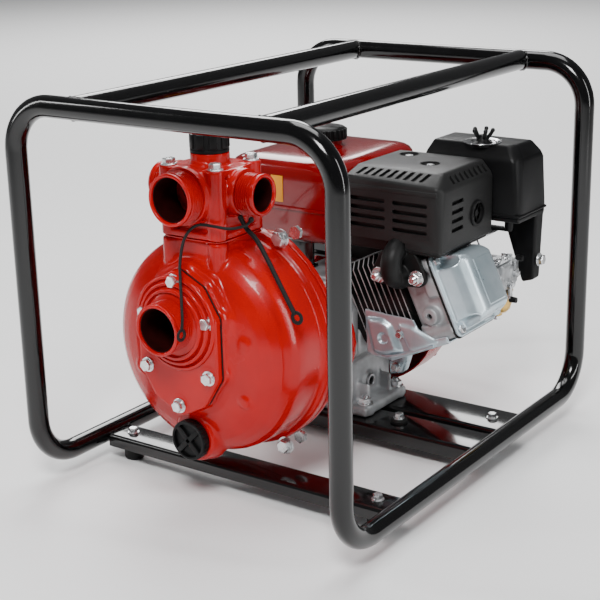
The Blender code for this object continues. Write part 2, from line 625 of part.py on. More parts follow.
def make_air_cleaner():
    low, high = (55, 150), (193, 230)
    base = plate("base", [rectangle(*low, *high, 16)], 281, 288.7)
    duct = block("duct", (168, 207, 192), (190, 228, 284), 4)
    finished(joined(base, [duct]), "air_cleaner_base", "black_plastic")
    wall = plate("wall", [rectangle(*low, *high, 20)], 289, 362)
    crown = plate("crown", [rectangle(low[0] + 10, low[1] + 10, high[0] - 10, high[1] - 10, 14)], 358, 377)
    hollow = plate("hollow", [rectangle(low[0] + 3, low[1] + 3, high[0] - 3, high[1] - 3, 17)], 280, 359)
    finished(cut(joined(wall, [crown]), [hollow]), "air_cleaner_cover", "black_plastic")
    element = [(34, 350), (34, 289.3), (20, 289.3), (20, 350)]
    finished(turned("element", element, (134, 190, 0), steps=24, closed=True), "air_filter", "filter_foam")
    hub = turned("hub", [(0, 389), (6, 389), (8, 384), (15, 379.5), (15, 377.3), (0, 377.3)],
                 (131, 172, 0), steps=20)
    wings = []
    for turn in range(3):
        a = math.tau * turn / 3
        wings.append(rod("wing", (131 + 4 * math.cos(a), 172 + 4 * math.sin(a), 384),
                         (131 + 13 * math.cos(a), 172 + 13 * math.sin(a), 394), 2.6, 10))
    finished(joined(hub, wings), "wing_nut", "black_plastic")


def make_exhaust():
    can = block("can", (34, 32, 292), (148, 138, 344), 8)
    finished(can, "muffler", "steel")
    x0, y0, x1, y1 = 24, 18, 158, 148
    wall = plate("wall", [rectangle(x0, y0, x1, y1, 6)], 272, 350)
    crown = plate("crown", [rectangle(x0 + 8, y0 + 14, x1 - 10, y1 - 4, 8)], 346, 360)
    hollow = plate("hollow", [rectangle(x0 + 2, y0 + 2, x1 - 2, y1 - 2, 4)], 260, 348)
    step = block("step", (0, 0, 250), (114, 60, 286))
    finished(cut(joined(wall, [crown]), [hollow, step]), "muffler_guard", "black_plastic")
    x = 97
    route = [(x, 26, 233.5), (x, 15, 236), (x, 9, 246), (x, 11, 260), (x, 24, 272), (x, 38, 277),
             (x, 44, 284), (x, 44, 291.5)]
    elbow = tube("elbow", route, 13, 3)
    outline = rounded([(x - 27, 232), (x + 26, 235), (x + 16, 254), (x - 16, 254)], 12, 6)
    flange = plate("flange", [outline], -31.6, -24, FRONT)
    finished(joined(flange, [elbow]), "exhaust_elbow", "fin_black")


def make_fuel_system():
    body = rod("body", (146, 128.4, 208), (146, 206.6, 208), 17, 20)
    flange = block("flange", (122, 128.4, 190), (170, 136, 226), 0)
    chamber = block("chamber", (134, 165, 186), (166, 200, 216), 2)
    finished(joined(body, [flange, chamber]), "carburetor", "zinc")
    bowl = [(0, 185.7), (20, 185.7), (20, 164), (17, 156), (7, 152), (7, 148), (0, 148)]
    finished(turned("bowl", bowl, (150, 183, 0), steps=24), "fuel_bowl", "brass")
    for name, y, z, reach in (("choke_lever", 190, 208, 1), ("fuel_valve_lever", 175, 196, -1)):
        hub = rod("hub", (166.3, y, z), (175, y, z), 5, 16)
        ends = sorted((z, z + reach * 24))
        arm = block("arm", (171, y - 2.5, ends[0]), (174, y + 2.5, ends[1]))
        finished(joined(hub, [arm]), name, "zinc")
    stand = block("stand", (96, 151, 262), (150, 200, 265), 0)
    leg = block("leg", (96, 151, 240), (99, 200, 264), 0)
    finished(joined(stand, [leg]), "control_bracket", "zinc")
    hub = rod("hub", (124, 176, 265.3), (124, 176, 271), 7, 16)
    arm = block("arm", (124, 172.5, 266), (172, 179.5, 269), 0)
    knob = rod("knob", (168, 176, 266), (168, 176, 280), 5, 14)
    finished(joined(hub, [arm, knob]), "throttle_lever", "black_plastic")
    stick = [(0, 14), (14, 14), (14, 4), (12, 0.3), (8.5, 0.3), (8.5, -12), (3, -12), (3, -34), (0, -34)]
    finished(turned("stick", stick, (-102, 60, 82), LEFT, 20), "oil_dipstick", "black_plastic")


clear_scene()
PARTS = new_collection("water_pump")
CUTTERS = new_collection("cutters")
MADE = {name: make_material(name) for name in MATERIALS}
for make in (make_frame, make_base, make_casing, make_suction_cover, make_manifold, make_straps, make_adapter,
             make_rotor, make_block, make_head, make_crank_train, make_cooling, make_tank, make_air_cleaner,
             make_exhaust, make_fuel_system):
    make()
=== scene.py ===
"""Visual model of the engine-driven centrifugal water pump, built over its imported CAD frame.

Sizes are in millimetres and become metres where a shape is made. X runs across the frame, -Y is the pump's
face, +Y is the recoil starter's side and Z is up from the floor.
"""

import json
from math import atan2, copysign, cos, pi, radians, sin, sqrt, tau

import bmesh
import bpy
from mathutils import Matrix, Vector


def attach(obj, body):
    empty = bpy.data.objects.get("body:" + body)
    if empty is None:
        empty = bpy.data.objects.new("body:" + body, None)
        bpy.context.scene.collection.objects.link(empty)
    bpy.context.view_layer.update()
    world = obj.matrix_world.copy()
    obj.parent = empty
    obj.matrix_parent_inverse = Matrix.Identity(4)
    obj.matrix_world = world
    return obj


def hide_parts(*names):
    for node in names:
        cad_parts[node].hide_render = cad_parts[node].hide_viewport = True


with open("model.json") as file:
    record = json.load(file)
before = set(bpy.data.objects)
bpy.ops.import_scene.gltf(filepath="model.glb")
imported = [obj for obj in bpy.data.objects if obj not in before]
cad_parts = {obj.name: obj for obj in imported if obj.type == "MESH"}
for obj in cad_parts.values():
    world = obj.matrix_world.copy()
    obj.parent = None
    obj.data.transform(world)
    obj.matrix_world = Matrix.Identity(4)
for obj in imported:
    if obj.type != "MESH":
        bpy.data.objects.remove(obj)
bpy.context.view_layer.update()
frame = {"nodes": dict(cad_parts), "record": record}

MM = 0.001
UP = Matrix.Identity(4)
FRONT = Matrix.Rotation(radians(90), 4, "X")
BACK = Matrix.Rotation(radians(-90), 4, "X")
RIGHT = Matrix.Rotation(radians(90), 4, "Y")
LEFT = Matrix.Rotation(radians(-90), 4, "Y")

PUMP_X = -30.0
SHAFT_Z = 139.0
CASING_Z = 186.0
COVER_Z = 203.0
PORT_Z = 228.0
MANIFOLD_Y = -171.0
OUTLET_Z = 367.5
COLUMN = 32.6              # half the spacing of the manifold's four bolt columns
DRAIN_Z = 82.0
LUG_R = 145.0              # ring of the lugs between casing and adapter
LUG_DEGREES = (60, 120, 240, 300)
BIG_THREAD, BIG_BORE = 29.7, 25.4
SMALL_THREAD, SMALL_BORE = 23.5, 19
CYL_Y = 80.0
CYL_TILT = 25.0
TUBE_R = 12.5
HOOP_Y = 285.4
RAIL_X, RAIL_Z = 127.5, 466
FUEL_CAP = (-86, 142, 0)
WING_NUT = (131, 172, 0)
DIPSTICK = (-102, 60, 82)
BLOCK_BOLTS = [(34, 47.5), (34, 123), (-126, 47.5), (-126, 123)]
TILTED = Matrix.Rotation(radians(-CYL_TILT), 4, "Y")
ENGINE = Matrix.Translation(Vector((PUMP_X, 0, SHAFT_Z)) * MM) @ TILTED
COVER_BOLTS = [(0, 73.3), (-44.1, 32), (-44.1, -32), (0, -73.3), (44.1, -32), (44.1, 32)]
# Local +Z runs along the cylinder, +X down across it and +Y towards the back.
ACROSS = ENGINE @ RIGHT @ Matrix.Translation(Vector((0, CYL_Y, 0)) * MM)
COVER_EDGE = [(0, 73.3), (-27, 60), (-44.1, 32), (-44.1, -32), (-27, -60), (0, -73.3), (27, -60),
    (44.1, -32), (44.1, 32), (27, 60)]


# ---- camera, light and floor -------------------------------------------------------------------

def make_camera():
    data = bpy.data.cameras.new("camera")
    data.lens, data.sensor_width = 82.8, 36.0
    data.clip_start, data.clip_end = 0.05, 60
    camera = bpy.data.objects.new("camera", data)
    azimuth, elevation, roll = (radians(a) for a in (35.2787, 17.2944, -1.2451))
    forward = Vector((-sin(azimuth) * cos(elevation), cos(azimuth) * cos(elevation), -sin(elevation)))
    right = forward.cross(Vector((0, 0, 1))).normalized()
    upward = right.cross(forward)
    side = right * cos(roll) + upward * sin(roll)
    top = upward * cos(roll) - right * sin(roll)
    turn = Matrix((side, top, -forward)).transposed().to_4x4()
    camera.matrix_world = Matrix.Translation((0.92551, -1.35373, 0.7057)) @ turn
    bpy.context.scene.collection.objects.link(camera)
    bpy.context.scene.camera = camera


def area_light(name, place, target, size, power, height=None):
    data = bpy.data.lights.new(name, "AREA")
    data.energy, data.size = power, size
    if height:
        data.shape, data.size_y = "RECTANGLE", height
    lamp = bpy.data.objects.new(name, data)
    lamp.location = place
    lamp.rotation_euler = (Vector(target) - lamp.location).to_track_quat("-Z", "Y").to_euler()
    bpy.context.scene.collection.objects.link(lamp)


def make_studio():
    world = bpy.data.worlds.new("studio")
    world.use_nodes = True
    sockets = world.node_tree.nodes["Background"].inputs
    sockets["Color"].default_value, sockets["Strength"].default_value = (0.93, 0.94, 0.96, 1), 0.16
    bpy.context.scene.world = world
    area_light("key", (0.9, -1.7, 2.2), (0, 0, 0.2), 0.7, 62)
    area_light("front_left", (-2.0, -1.3, 1.2), (0, 0, 0.25), 0.2, 17, 1.8)
    area_light("right_strip", (2.3, 0.1, 1.0), (0, 0, 0.25), 0.22, 18, 1.8)
    area_light("top", (-0.2, 0.5, 2.6), (0, 0, 0), 1.5, 44)
    area_light("backdrop", (-2.6, 3.4, 3.0), (-1.6, 2.2, 0), 2.4, 170)
    bpy.ops.mesh.primitive_plane_add(size=14, location=(0, 0, -0.0004))
    floor = bpy.context.object
    floor.name = "floor"
    paint = bpy.data.materials.new("floor_white")
    paint.use_nodes = True
    sockets = paint.node_tree.nodes["Principled BSDF"].inputs
    for socket, value in (("Base Color", (0.96, 0.96, 0.96, 1)), ("Roughness", 0.9),
            ("Specular IOR Level", 0.1)):
        sockets[socket].default_value = value
    floor.data.materials.append(paint)


# ---- materials ---------------------------------------------------------------------------------

def finish_for(name, colour, rough, metal, coat, tint, patch, grain, bump, gloss, depth=0.0002, spread=0.07,
        wear=None, second=None):
    """A finish with drifting colour, drifting roughness and a fine raised grain, and paler worn edges."""
    made = bpy.data.materials.new(name)
    made.use_nodes = True
    nodes, links = made.node_tree.nodes, made.node_tree.links

    def node(kind, **values):
        fresh = nodes.new("ShaderNode" + kind)
        for socket, value in values.items():
            fresh.inputs[socket.replace("_", " ")].default_value = value
        return fresh

    shader = nodes["Principled BSDF"]
    for socket, value in (("Metallic", metal), ("Coat Weight", coat), ("Coat Roughness", 0.05),
            ("Specular IOR Level", gloss)):
        shader.inputs[socket].default_value = value
    place = node("TexCoord").outputs["Object"]
    broad = node("TexNoise", Scale=patch, Detail=5)
    links.new(place, broad.inputs["Vector"])
    ramp = node("ValToRGB")
    low = tuple(c * (1 - tint) for c in colour)
    high = second or tuple(min(1, c * (1 + tint)) for c in colour)
    first, last = ramp.color_ramp.elements
    first.position, last.position = 0.3, 0.7
    first.color, last.color = (*low, 1), (*high, 1)
    links.new(broad.outputs["Fac"], ramp.inputs["Fac"])
    colour_out = ramp.outputs["Color"]
    if wear:
        edge = node("MapRange", From_Min=0.56, From_Max=0.68)
        links.new(node("NewGeometry").outputs["Pointiness"], edge.inputs["Value"])
        mix = nodes.new("ShaderNodeMix")
        mix.data_type = "RGBA"
        mix.inputs["B"].default_value = (*wear, 1)
        links.new(edge.outputs["Result"], mix.inputs["Factor"])
        links.new(colour_out, mix.inputs["A"])
        colour_out = mix.outputs["Result"]
    links.new(colour_out, shader.inputs["Base Color"])
    drift = node("MapRange", To_Min=max(0.02, rough - spread), To_Max=min(1, rough + spread))
    links.new(broad.outputs["Fac"], drift.inputs["Value"])
    links.new(drift.outputs["Result"], shader.inputs["Roughness"])
    fine = node("TexNoise", Scale=grain, Detail=3)
    links.new(place, fine.inputs["Vector"])
    raised = node("Bump", Strength=bump, Distance=depth)
    links.new(fine.outputs["Fac"], raised.inputs["Height"])
    links.new(raised.outputs["Normal"], shader.inputs["Normal"])
    return made


FINISH = {slot: finish_for(*values, **(more[0] if more else {})) for slot, values, *more in (
    # slot, (name, colour, rough, metal, coat, tint, patch, grain, bump, gloss), the rest where it differs
    ("frame_black", ("frame_gloss_black", (0.0012, 0.0012, 0.0014), 0.15, 0, 0.35, 0.3, 25, 420, 0.08, 0.35),
     dict(wear=(0.006, 0.006, 0.006))),
    ("pump_red", ("pump_red_paint", (0.43, 0.0004, 0.0012), 0.25, 0, 0.2, 0.12, 14, 380, 0.2, 0.22),
     dict(wear=(0.56, 0.003, 0.005))),
    ("tank_red", ("tank_deep_red", (0.19, 0.0003, 0.0014), 0.14, 0, 0.35, 0.12, 9, 260, 0.05, 0.5)),
    ("zinc", ("bright_zinc", (0.72, 0.73, 0.74), 0.27, 0.92, 0, 0.2, 90, 1500, 0.15, 0.5),
     dict(spread=0.1)),
    ("zinc_blue", ("blue_zinc", (0.48, 0.61, 0.67), 0.3, 0.72, 0, 0.12, 22, 900, 0.14, 0.5),
     dict(spread=0.09, second=(0.66, 0.75, 0.8))),
    ("steel", ("machined_steel", (0.38, 0.38, 0.39), 0.36, 1, 0, 0.2, 60, 700, 0.12, 0.5)),
    ("cast_aluminium", ("cast_aluminium", (0.4, 0.41, 0.42), 0.52, 0.6, 0, 0.25, 45, 1100, 0.5, 0.5),
     dict(depth=0.0003, wear=(0.72, 0.72, 0.73))),
    # fin_black: the exhaust's own black paint. It is also painted shade on the cylinder fins, inside the
    # guard and at the bottoms of the drain and lifting holes.
    ("fin_black", ("exhaust_black_and_painted_shade", (0.0045, 0.0045, 0.0045), 0.5, 0.1, 0, 0.3, 25, 900, 0.4, 0.3)),
    ("black_plastic", ("black_plastic", (0.004, 0.004, 0.0043), 0.4, 0, 0, 0.25, 30, 2600, 0.25, 0.16),
     dict(depth=0.0001, wear=(0.012, 0.012, 0.012))),
    ("guard_black", ("guard_satin_black", (0.012, 0.012, 0.012), 0.46, 0, 0, 0.2, 30, 1900, 0.35, 0.28),
     dict(wear=(0.05, 0.05, 0.05))),
    # bore_dark: the dark inside of the port bores, the iron's own dark colour plus painted shade.
    ("bore_dark", ("bore_shadow_red", (0.02, 0.0012, 0.0012), 0.6, 0, 0, 0.4, 60, 900, 0.4, 0.1)),
    ("chrome", ("bright_plate", (0.8, 0.8, 0.81), 0.16, 1, 0, 0.1, 70, 1300, 0.1, 0.5)),
    ("rubber", ("rubber", (0.004, 0.004, 0.004), 0.6, 0, 0, 0.3, 25, 1800, 0.3, 0.3)),
    ("gasket", ("gasket", (0.01, 0.009, 0.008), 0.75, 0, 0, 0.3, 25, 1500, 0.5, 0.3)),
    ("brass", ("brass", (0.62, 0.4, 0.12), 0.28, 1, 0, 0.2, 80, 1300, 0.15, 0.5)),
    ("filter_foam", ("filter_foam", (0.3, 0.26, 0.16), 0.95, 0, 0, 0.3, 25, 600, 1, 0.5),
     dict(depth=0.001)),
    ("label", ("amber_label", (0.7, 0.3, 0.01), 0.35, 0, 0, 0.06, 25, 900, 0.05, 0.5)),
)}


# ---- shape helpers -----------------------------------------------------------------------------

def point(place):
    return Vector(place) * MM


def at(place, facing=UP, turn=0.0, axis="Z"):
    """A placement: moved to a place in millimetres, facing a way and turned about one of its own axes."""
    return Matrix.Translation(point(place)) @ facing @ Matrix.Rotation(turn, 4, axis)


def pump(y, z):
    """A place in the pump's and the crankshaft's upright plane."""
    return (PUMP_X, y, z)


def corners(xs, ys, zs):
    return [(x, y, z) for x in xs for y in ys for z in zs]


def linked(name, data):
    obj = bpy.data.objects.new(name, data)
    bpy.context.scene.collection.objects.link(obj)
    return obj


def shaped(name, work, matrix=None):
    """Ends a bmesh as a linked object."""
    mesh = bpy.data.meshes.new(name)
    work.to_mesh(mesh)
    work.free()
    mesh.transform(matrix or UP)
    return linked(name, mesh)


def baked(obj, matrix=None):
    """The evaluated shape as a welded mesh with outward faces, in world space."""
    bpy.context.view_layer.update()
    graph = bpy.context.evaluated_depsgraph_get()
    mesh = bpy.data.meshes.new_from_object(obj.evaluated_get(graph))
    mesh.transform((matrix or UP) @ obj.matrix_world)
    name = obj.name
    bpy.data.objects.remove(obj, do_unlink=True)
    work = bmesh.new()
    work.from_mesh(mesh)
    bmesh.ops.remove_doubles(work, verts=work.verts, dist=0.00001)
    bmesh.ops.recalc_face_normals(work, faces=work.faces)
    work.to_mesh(mesh)
    work.free()
    return linked(name, mesh)


def lathe(name, profile, origin, facing=UP, steps=96, closed=False, matrix=None):
    """A shape turned round its facing axis, from (radius, height) points."""
    work = bmesh.new()
    rings = []
    for radius, height in profile:
        count = 1 if radius == 0 else steps
        rings.append([work.verts.new((radius * MM * cos(tau * k / steps), radius * MM * sin(tau * k / steps),
            height * MM)) for k in range(count)])
    pairs = list(zip(rings, rings[1:] + rings[:1] if closed else rings[1:]))
    for first, second in pairs:
        for k in range(steps):
            n = k + 1
            unique = list(dict.fromkeys((first[k % len(first)], first[n % len(first)],
                second[n % len(second)], second[k % len(second)])))
            if len(unique) > 2:
                work.faces.new(unique)
    bmesh.ops.recalc_face_normals(work, faces=work.faces)
    return shaped(name, work, (matrix or UP) @ at(origin, facing))


def cylinder(name, start, end, radius, sides=48, end_radius=None, matrix=None):
    axis = point(end) - point(start)
    last = radius if end_radius is None else end_radius
    length = axis.length / MM
    turn = axis.to_track_quat("Z", "Y").to_matrix().to_4x4()
    place = (matrix or UP) @ Matrix.Translation(point(start)) @ turn
    return lathe(name, [(0, 0), (radius, 0), (last, length), (0, length)], (0, 0, 0), UP, sides,
        matrix=place)


def block(name, low, high, bevel=0.0, segments=3, matrix=None):
    work = bmesh.new()
    bmesh.ops.create_cube(work, size=1)
    middle, size = (point(low) + point(high)) / 2, point(high) - point(low)
    bmesh.ops.transform(work, matrix=Matrix.Translation(middle) @ Matrix.Diagonal((*size, 1)),
        verts=work.verts)
    if bevel:
        bmesh.ops.bevel(work, geom=work.edges[:], offset=bevel * MM, segments=segments, affect="EDGES",
            profile=0.5)
    return shaped(name, work, matrix)


def add_spline(curve, points, cyclic):
    spline = curve.splines.new("POLY")
    spline.points.add(len(points) - 1)
    spline.use_cyclic_u = cyclic
    for target, place in zip(spline.points, points):
        target.co = (*point(place), 1)


def tube(name, points, radius, roundness=8, cyclic=False, matrix=None):
    curve = bpy.data.curves.new(name, "CURVE")
    curve.dimensions = "3D"
    curve.bevel_depth, curve.bevel_resolution = radius * MM, roundness
    curve.use_fill_caps = not cyclic
    add_spline(curve, points, cyclic)
    return baked(linked(name, curve), matrix)


def prism(name, outlines, low, high, facing=UP, origin=(0, 0, 0), bevel=0.0, matrix=None):
    """A flat outline, further outlines being holes, from height low to high, with rounded rims."""
    curve = bpy.data.curves.new(name, "CURVE")
    curve.dimensions, curve.fill_mode = "2D", "BOTH"
    curve.extrude = ((high - low) / 2 - bevel) * MM
    curve.bevel_depth, curve.bevel_resolution, curve.offset = bevel * MM, 2, -bevel * MM
    for outline in outlines:
        add_spline(curve, [(x, y, 0) for x, y in outline], True)
    obj = linked(name, curve)
    obj.matrix_world = at(origin, facing) @ Matrix.Translation((0, 0, (low + high) / 2 * MM))
    return baked(obj, matrix)


def circle(x, y, radius, sides=48):
    return [(x + radius * cos(tau * k / sides), y + radius * sin(tau * k / sides)) for k in range(sides)]


def rounded(polygon, radius, steps=8):
    """An outline at a distance outside a convex polygon, whose corners run anticlockwise."""
    outline = []
    for index, (x, y) in enumerate(polygon):
        before, after = polygon[index - 1], polygon[(index + 1) % len(polygon)]
        first = atan2(before[0] - x, y - before[1])
        last = atan2(x - after[0], after[1] - y)
        while last < first:
            last += tau
        for step in range(steps + 1):
            angle = first + (last - first) * step / steps
            outline.append((x + radius * cos(angle), y + radius * sin(angle)))
    return outline


def rectangle(x0, y0, x1, y1, radius, steps=8):
    r = radius
    return rounded([(x0 + r, y0 + r), (x1 - r, y0 + r), (x1 - r, y1 - r), (x0 + r, y1 - r)], r, steps)


def arc(centre, radius, start, end, a, b, steps=16):
    centre, a, b = Vector(centre), Vector(a), Vector(b)
    turns = [radians(start + (end - start) * step / steps) for step in range(steps + 1)]
    return [tuple(centre + radius * (cos(t) * a + sin(t) * b)) for t in turns]


def smooth_route(points, spacing=4.0):
    ends = [Vector(points[0]) * 2 - Vector(points[1]), Vector(points[-1]) * 2 - Vector(points[-2])]
    knots = [ends[0], *map(Vector, points), ends[1]]
    route = []
    for a, b, c, d in zip(knots, knots[1:], knots[2:], knots[3:]):
        steps = max(2, round((c - b).length / spacing))
        for step in range(steps):
            t = step / steps
            route.append(tuple(0.5 * (2 * b + (c - a) * t + (2 * a - 5 * b + 4 * c - d) * t ** 2
                + (3 * b - a - 3 * c + d) * t ** 3)))
    return route + [tuple(points[-1])]


def merged(name, objects):
    """Several meshes as one piece, left as separate shells."""
    work = bmesh.new()
    for obj in objects:
        work.from_mesh(obj.data)
        bpy.data.objects.remove(obj, do_unlink=True)
    return shaped(name, work)


def ribs_round(count, place, axis, low, high, bevel, facing=UP):
    """Blocks spaced evenly round an axis."""
    return [block("rib", low, high, bevel, 2, at(place, facing, tau * k / count, axis))
        for k in range(count)]


def cut(base, cutters):
    """The base with the cutters taken away by exact Booleans."""
    for cutter in cutters:
        modifier = base.modifiers.new("cut", "BOOLEAN")
        modifier.operation = "DIFFERENCE"
        modifier.solver = "EXACT"
        modifier.object = cutter
    result = baked(base)
    for cutter in cutters:
        bpy.data.objects.remove(cutter, do_unlink=True)
    return result


def cast(name, shapes, cutters=(), voxel=1.6, soften=5, keep=0.35):
    """Overlapping shapes grown together as a casting, with small fillets where they meet."""
    def grow(whole):
        modifier = whole.modifiers.new("grow", "REMESH")
        modifier.mode = "VOXEL"
        modifier.voxel_size = voxel * MM
        return whole

    whole = grow(merged(name, shapes))
    if cutters:
        whole = grow(cut(baked(whole), list(cutters)))
    calm = whole.modifiers.new("soften", "SMOOTH")
    calm.iterations = soften
    calm.factor = 0.5
    whole.modifiers.new("fewer", "DECIMATE").ratio = keep
    return baked(whole)


def put(obj, finish, body="frame", stands_for=None, sharp=35.0):
    """Gives a piece its finish, shading and body, and hides the CAD node that it stands for."""
    obj.data.materials.clear()
    obj.data.materials.append(FINISH[finish])
    if obj.type == "MESH":
        obj.data.shade_smooth()
        obj.data.set_sharp_from_angle(angle=radians(sharp))
    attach(obj, body)
    if stands_for:
        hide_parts(stands_for)
    return obj


# ---- fasteners ---------------------------------------------------------------------------------

def hexagon(radius, low, high, matrix):
    """A hexagonal head with its corners turned off at the top."""
    return lathe("hex", [(0, low), (radius, low), (radius, high - 0.12 * radius), (radius * 0.84, high),
        (radius * 0.8, high), (0, high)], (0, 0, 0), UP, 6, matrix=matrix)


BOLTS = []


def bolt(place, facing, size=8.0, body="frame", washer=True, stud=0.0, matrix=None):
    """A hex bolt, or a nut on its stud, with a flat and a spring washer; size is the thread's diameter."""
    BOLTS.append(place)
    spin = radians(len(BOLTS) * 37 % 60)
    base = (matrix or UP) @ at(place, facing, spin)
    shapes = []
    low = 0.1
    if washer:
        for rim, steps in (([(1.12, 0), (1.15, 0.3), (1.15, 1.0), (1.1, 1.3)], 40),
                ([(0.82, 1.35), (0.82, 2.6)], 32)):
            ring = [(0.5, rim[0][1]), *rim, (0.5, rim[-1][1])]
            profile = [(size * ratio, low + height) for ratio, height in ring]
            shapes.append(lathe("washer", profile, (0, 0, 0), UP, steps, True, base))
        low += 2.65
    top = low + size * 0.62
    shapes.append(hexagon(size * 0.92, low, top, base))
    if stud:
        rings = [(0, top - 0.5), (size * 0.5, top - 0.5)]
        height = top
        while height < top + stud:
            rings += [(size * 0.5, height), (size * 0.43, height + 0.5)]
            height += 1.2
        rings += [(size * 0.4, top + stud), (0, top + stud)]
        shapes.append(lathe("stud", rings, (0, 0, 0), UP, 24, matrix=base))
    return put(merged(f"bolt_{len(BOLTS):03d}", shapes), "zinc", body, sharp=25)


# ---- cage --------------------------------------------------------------------------------------

def hoop_path(side):
    start_y = 32.0 if side < 0 else 32.3
    path = [(216, start_y, 31)]
    path += arc((216, side * (HOOP_Y - 55), 86), 55, -90, 0, (0, side, 0), (0, 0, 1), 20)
    path += arc((161, side * HOOP_Y, 411), 55, 0, 90, (1, 0, 0), (0, 0, 1), 20)
    return path + [(-x, y, z) for x, y, z in path][::-1]


def weld_bead(name, x, side):
    """The bead where a top rail meets a hoop, following the saddle between the two tubes."""
    route = []
    for k in range(64):
        a = tau * k / 64
        z = 12.4 * sin(a)
        reach = sqrt(12.6 ** 2 - z * z)
        wobble = 0.25 * sin(a * 19) + 0.2 * sin(a * 31 + x)
        route.append((x + (12.9 + wobble) * cos(a), side * (HOOP_Y - reach - 0.8),
            RAIL_Z + min(10.7, (12.9 + wobble) * sin(a))))
    return put(tube(name, route, 1.7, 4, True), "frame_black")


def make_cage():
    for name, side in (("front_hoop", -1), ("rear_hoop", 1)):
        put(tube(f"{name}_tube", hoop_path(side), TUBE_R, 10), "frame_black", stands_for=name)
    for name, x in (("top_rail_left", -RAIL_X), ("top_rail_right", RAIL_X)):
        rail = cylinder(f"{name}_tube", (x, -278, RAIL_Z), (x, 278, RAIL_Z), TUBE_R, 64)
        put(rail, "frame_black", stands_for=name)
        for side in (-1, 1):
            weld_bead(f"weld_{name}_{'front' if side < 0 else 'rear'}", x, side)
    for x in (-216, 216):
        clip = lathe(f"seam_{'left' if x < 0 else 'right'}", [(12.0, -4), (12.5, -3.6), (12.5, 3.6),
            (12.0, 4)], (x, 32.2, 31), FRONT, 64, True)
        put(clip, "frame_black")
    foot = [(0, 29.6), (14, 29.6), (14.3, 28), (14, 18), (12.6, 15), (12.4, 3), (11.5, 0.8), (10, 0), (0, 0)]
    for end, x, y in (("front_left", -181, -159.5), ("front_right", 181, -159.5), ("rear_left", -178, 122),
            ("rear_right", 178, 122)):
        name = f"foot_{end}"
        put(lathe(f"{name}_rubber", foot, (x, y, 0), steps=64), "rubber", stands_for=name)
        bolt((x, y, 33), UP, 6.5)


# ---- pump --------------------------------------------------------------------------------------

def cover_outline(margin, steps=10):
    return rounded(COVER_EDGE, margin, steps)


def lug_places():
    return [(PUMP_X + LUG_R * cos(radians(a)), CASING_Z + LUG_R * sin(radians(a))) for a in LUG_DEGREES]


def lug(x, z, front, back, radius=14.0):
    """An ear that tapers from the bolt into the rim."""
    towards = Vector((PUMP_X - x, CASING_Z - z)).normalized() * 22
    outline = rounded([(x, z), (x + towards.x, z + towards.y)], radius, 10)
    return prism("lug", [outline], -front, -back, FRONT)


def column_places():
    return [(PUMP_X + sx * COLUMN, MANIFOLD_Y + sy * COLUMN) for sx in (-1, 1) for sy in (-1, 1)]


def columns(low, high):
    return [cylinder("column", (x, y, low), (x, y, high), 11, 40) for x, y in column_places()]


def threads(outer, root, start, end, pitch):
    """Turned thread crests between two heights, as (radius, height) points."""
    points = []
    height = start
    while height + pitch <= end:
        points += [(root, height), (root, height + 0.25 * pitch), (outer, height + 0.5 * pitch),
            (outer, height + 0.72 * pitch)]
        height += pitch
    return points + [(root, height)]


def port(name, centre, facing, outer, bore, root, tip):
    """A threaded hose spigot, with plain lips at its mouth and a collar at its root."""
    profile = [(bore, root), (outer + 3.5, root), (outer + 3.5, root + 3), (outer + 2.6, root + 4.2),
        (outer - 1.2, root + 4.6)]
    profile += threads(outer, outer - 1.7, root + 5.5, tip - 4.5, 2.9)
    profile += [(outer - 0.2, tip - 3.6), (outer - 0.2, tip - 1.0), (outer - 1.2, tip - 0.05),
        (bore + 0.9, tip - 0.05), (bore, tip - 1.0)]
    # A dark sleeve lines the bore: the unpainted iron's own colour, darkened further as painted shade deep
    # in the port.
    sleeve = [(bore - 0.9, root - 14), (bore - 0.1, root - 14), (bore - 0.1, tip - 3.0),
        (bore - 0.9, tip - 3.6)]
    put(lathe(f"{name}_bore", sleeve, centre, facing, 96, True), "bore_dark")
    put(lathe(name, profile, centre, facing, 128, True), "pump_red", sharp=50)


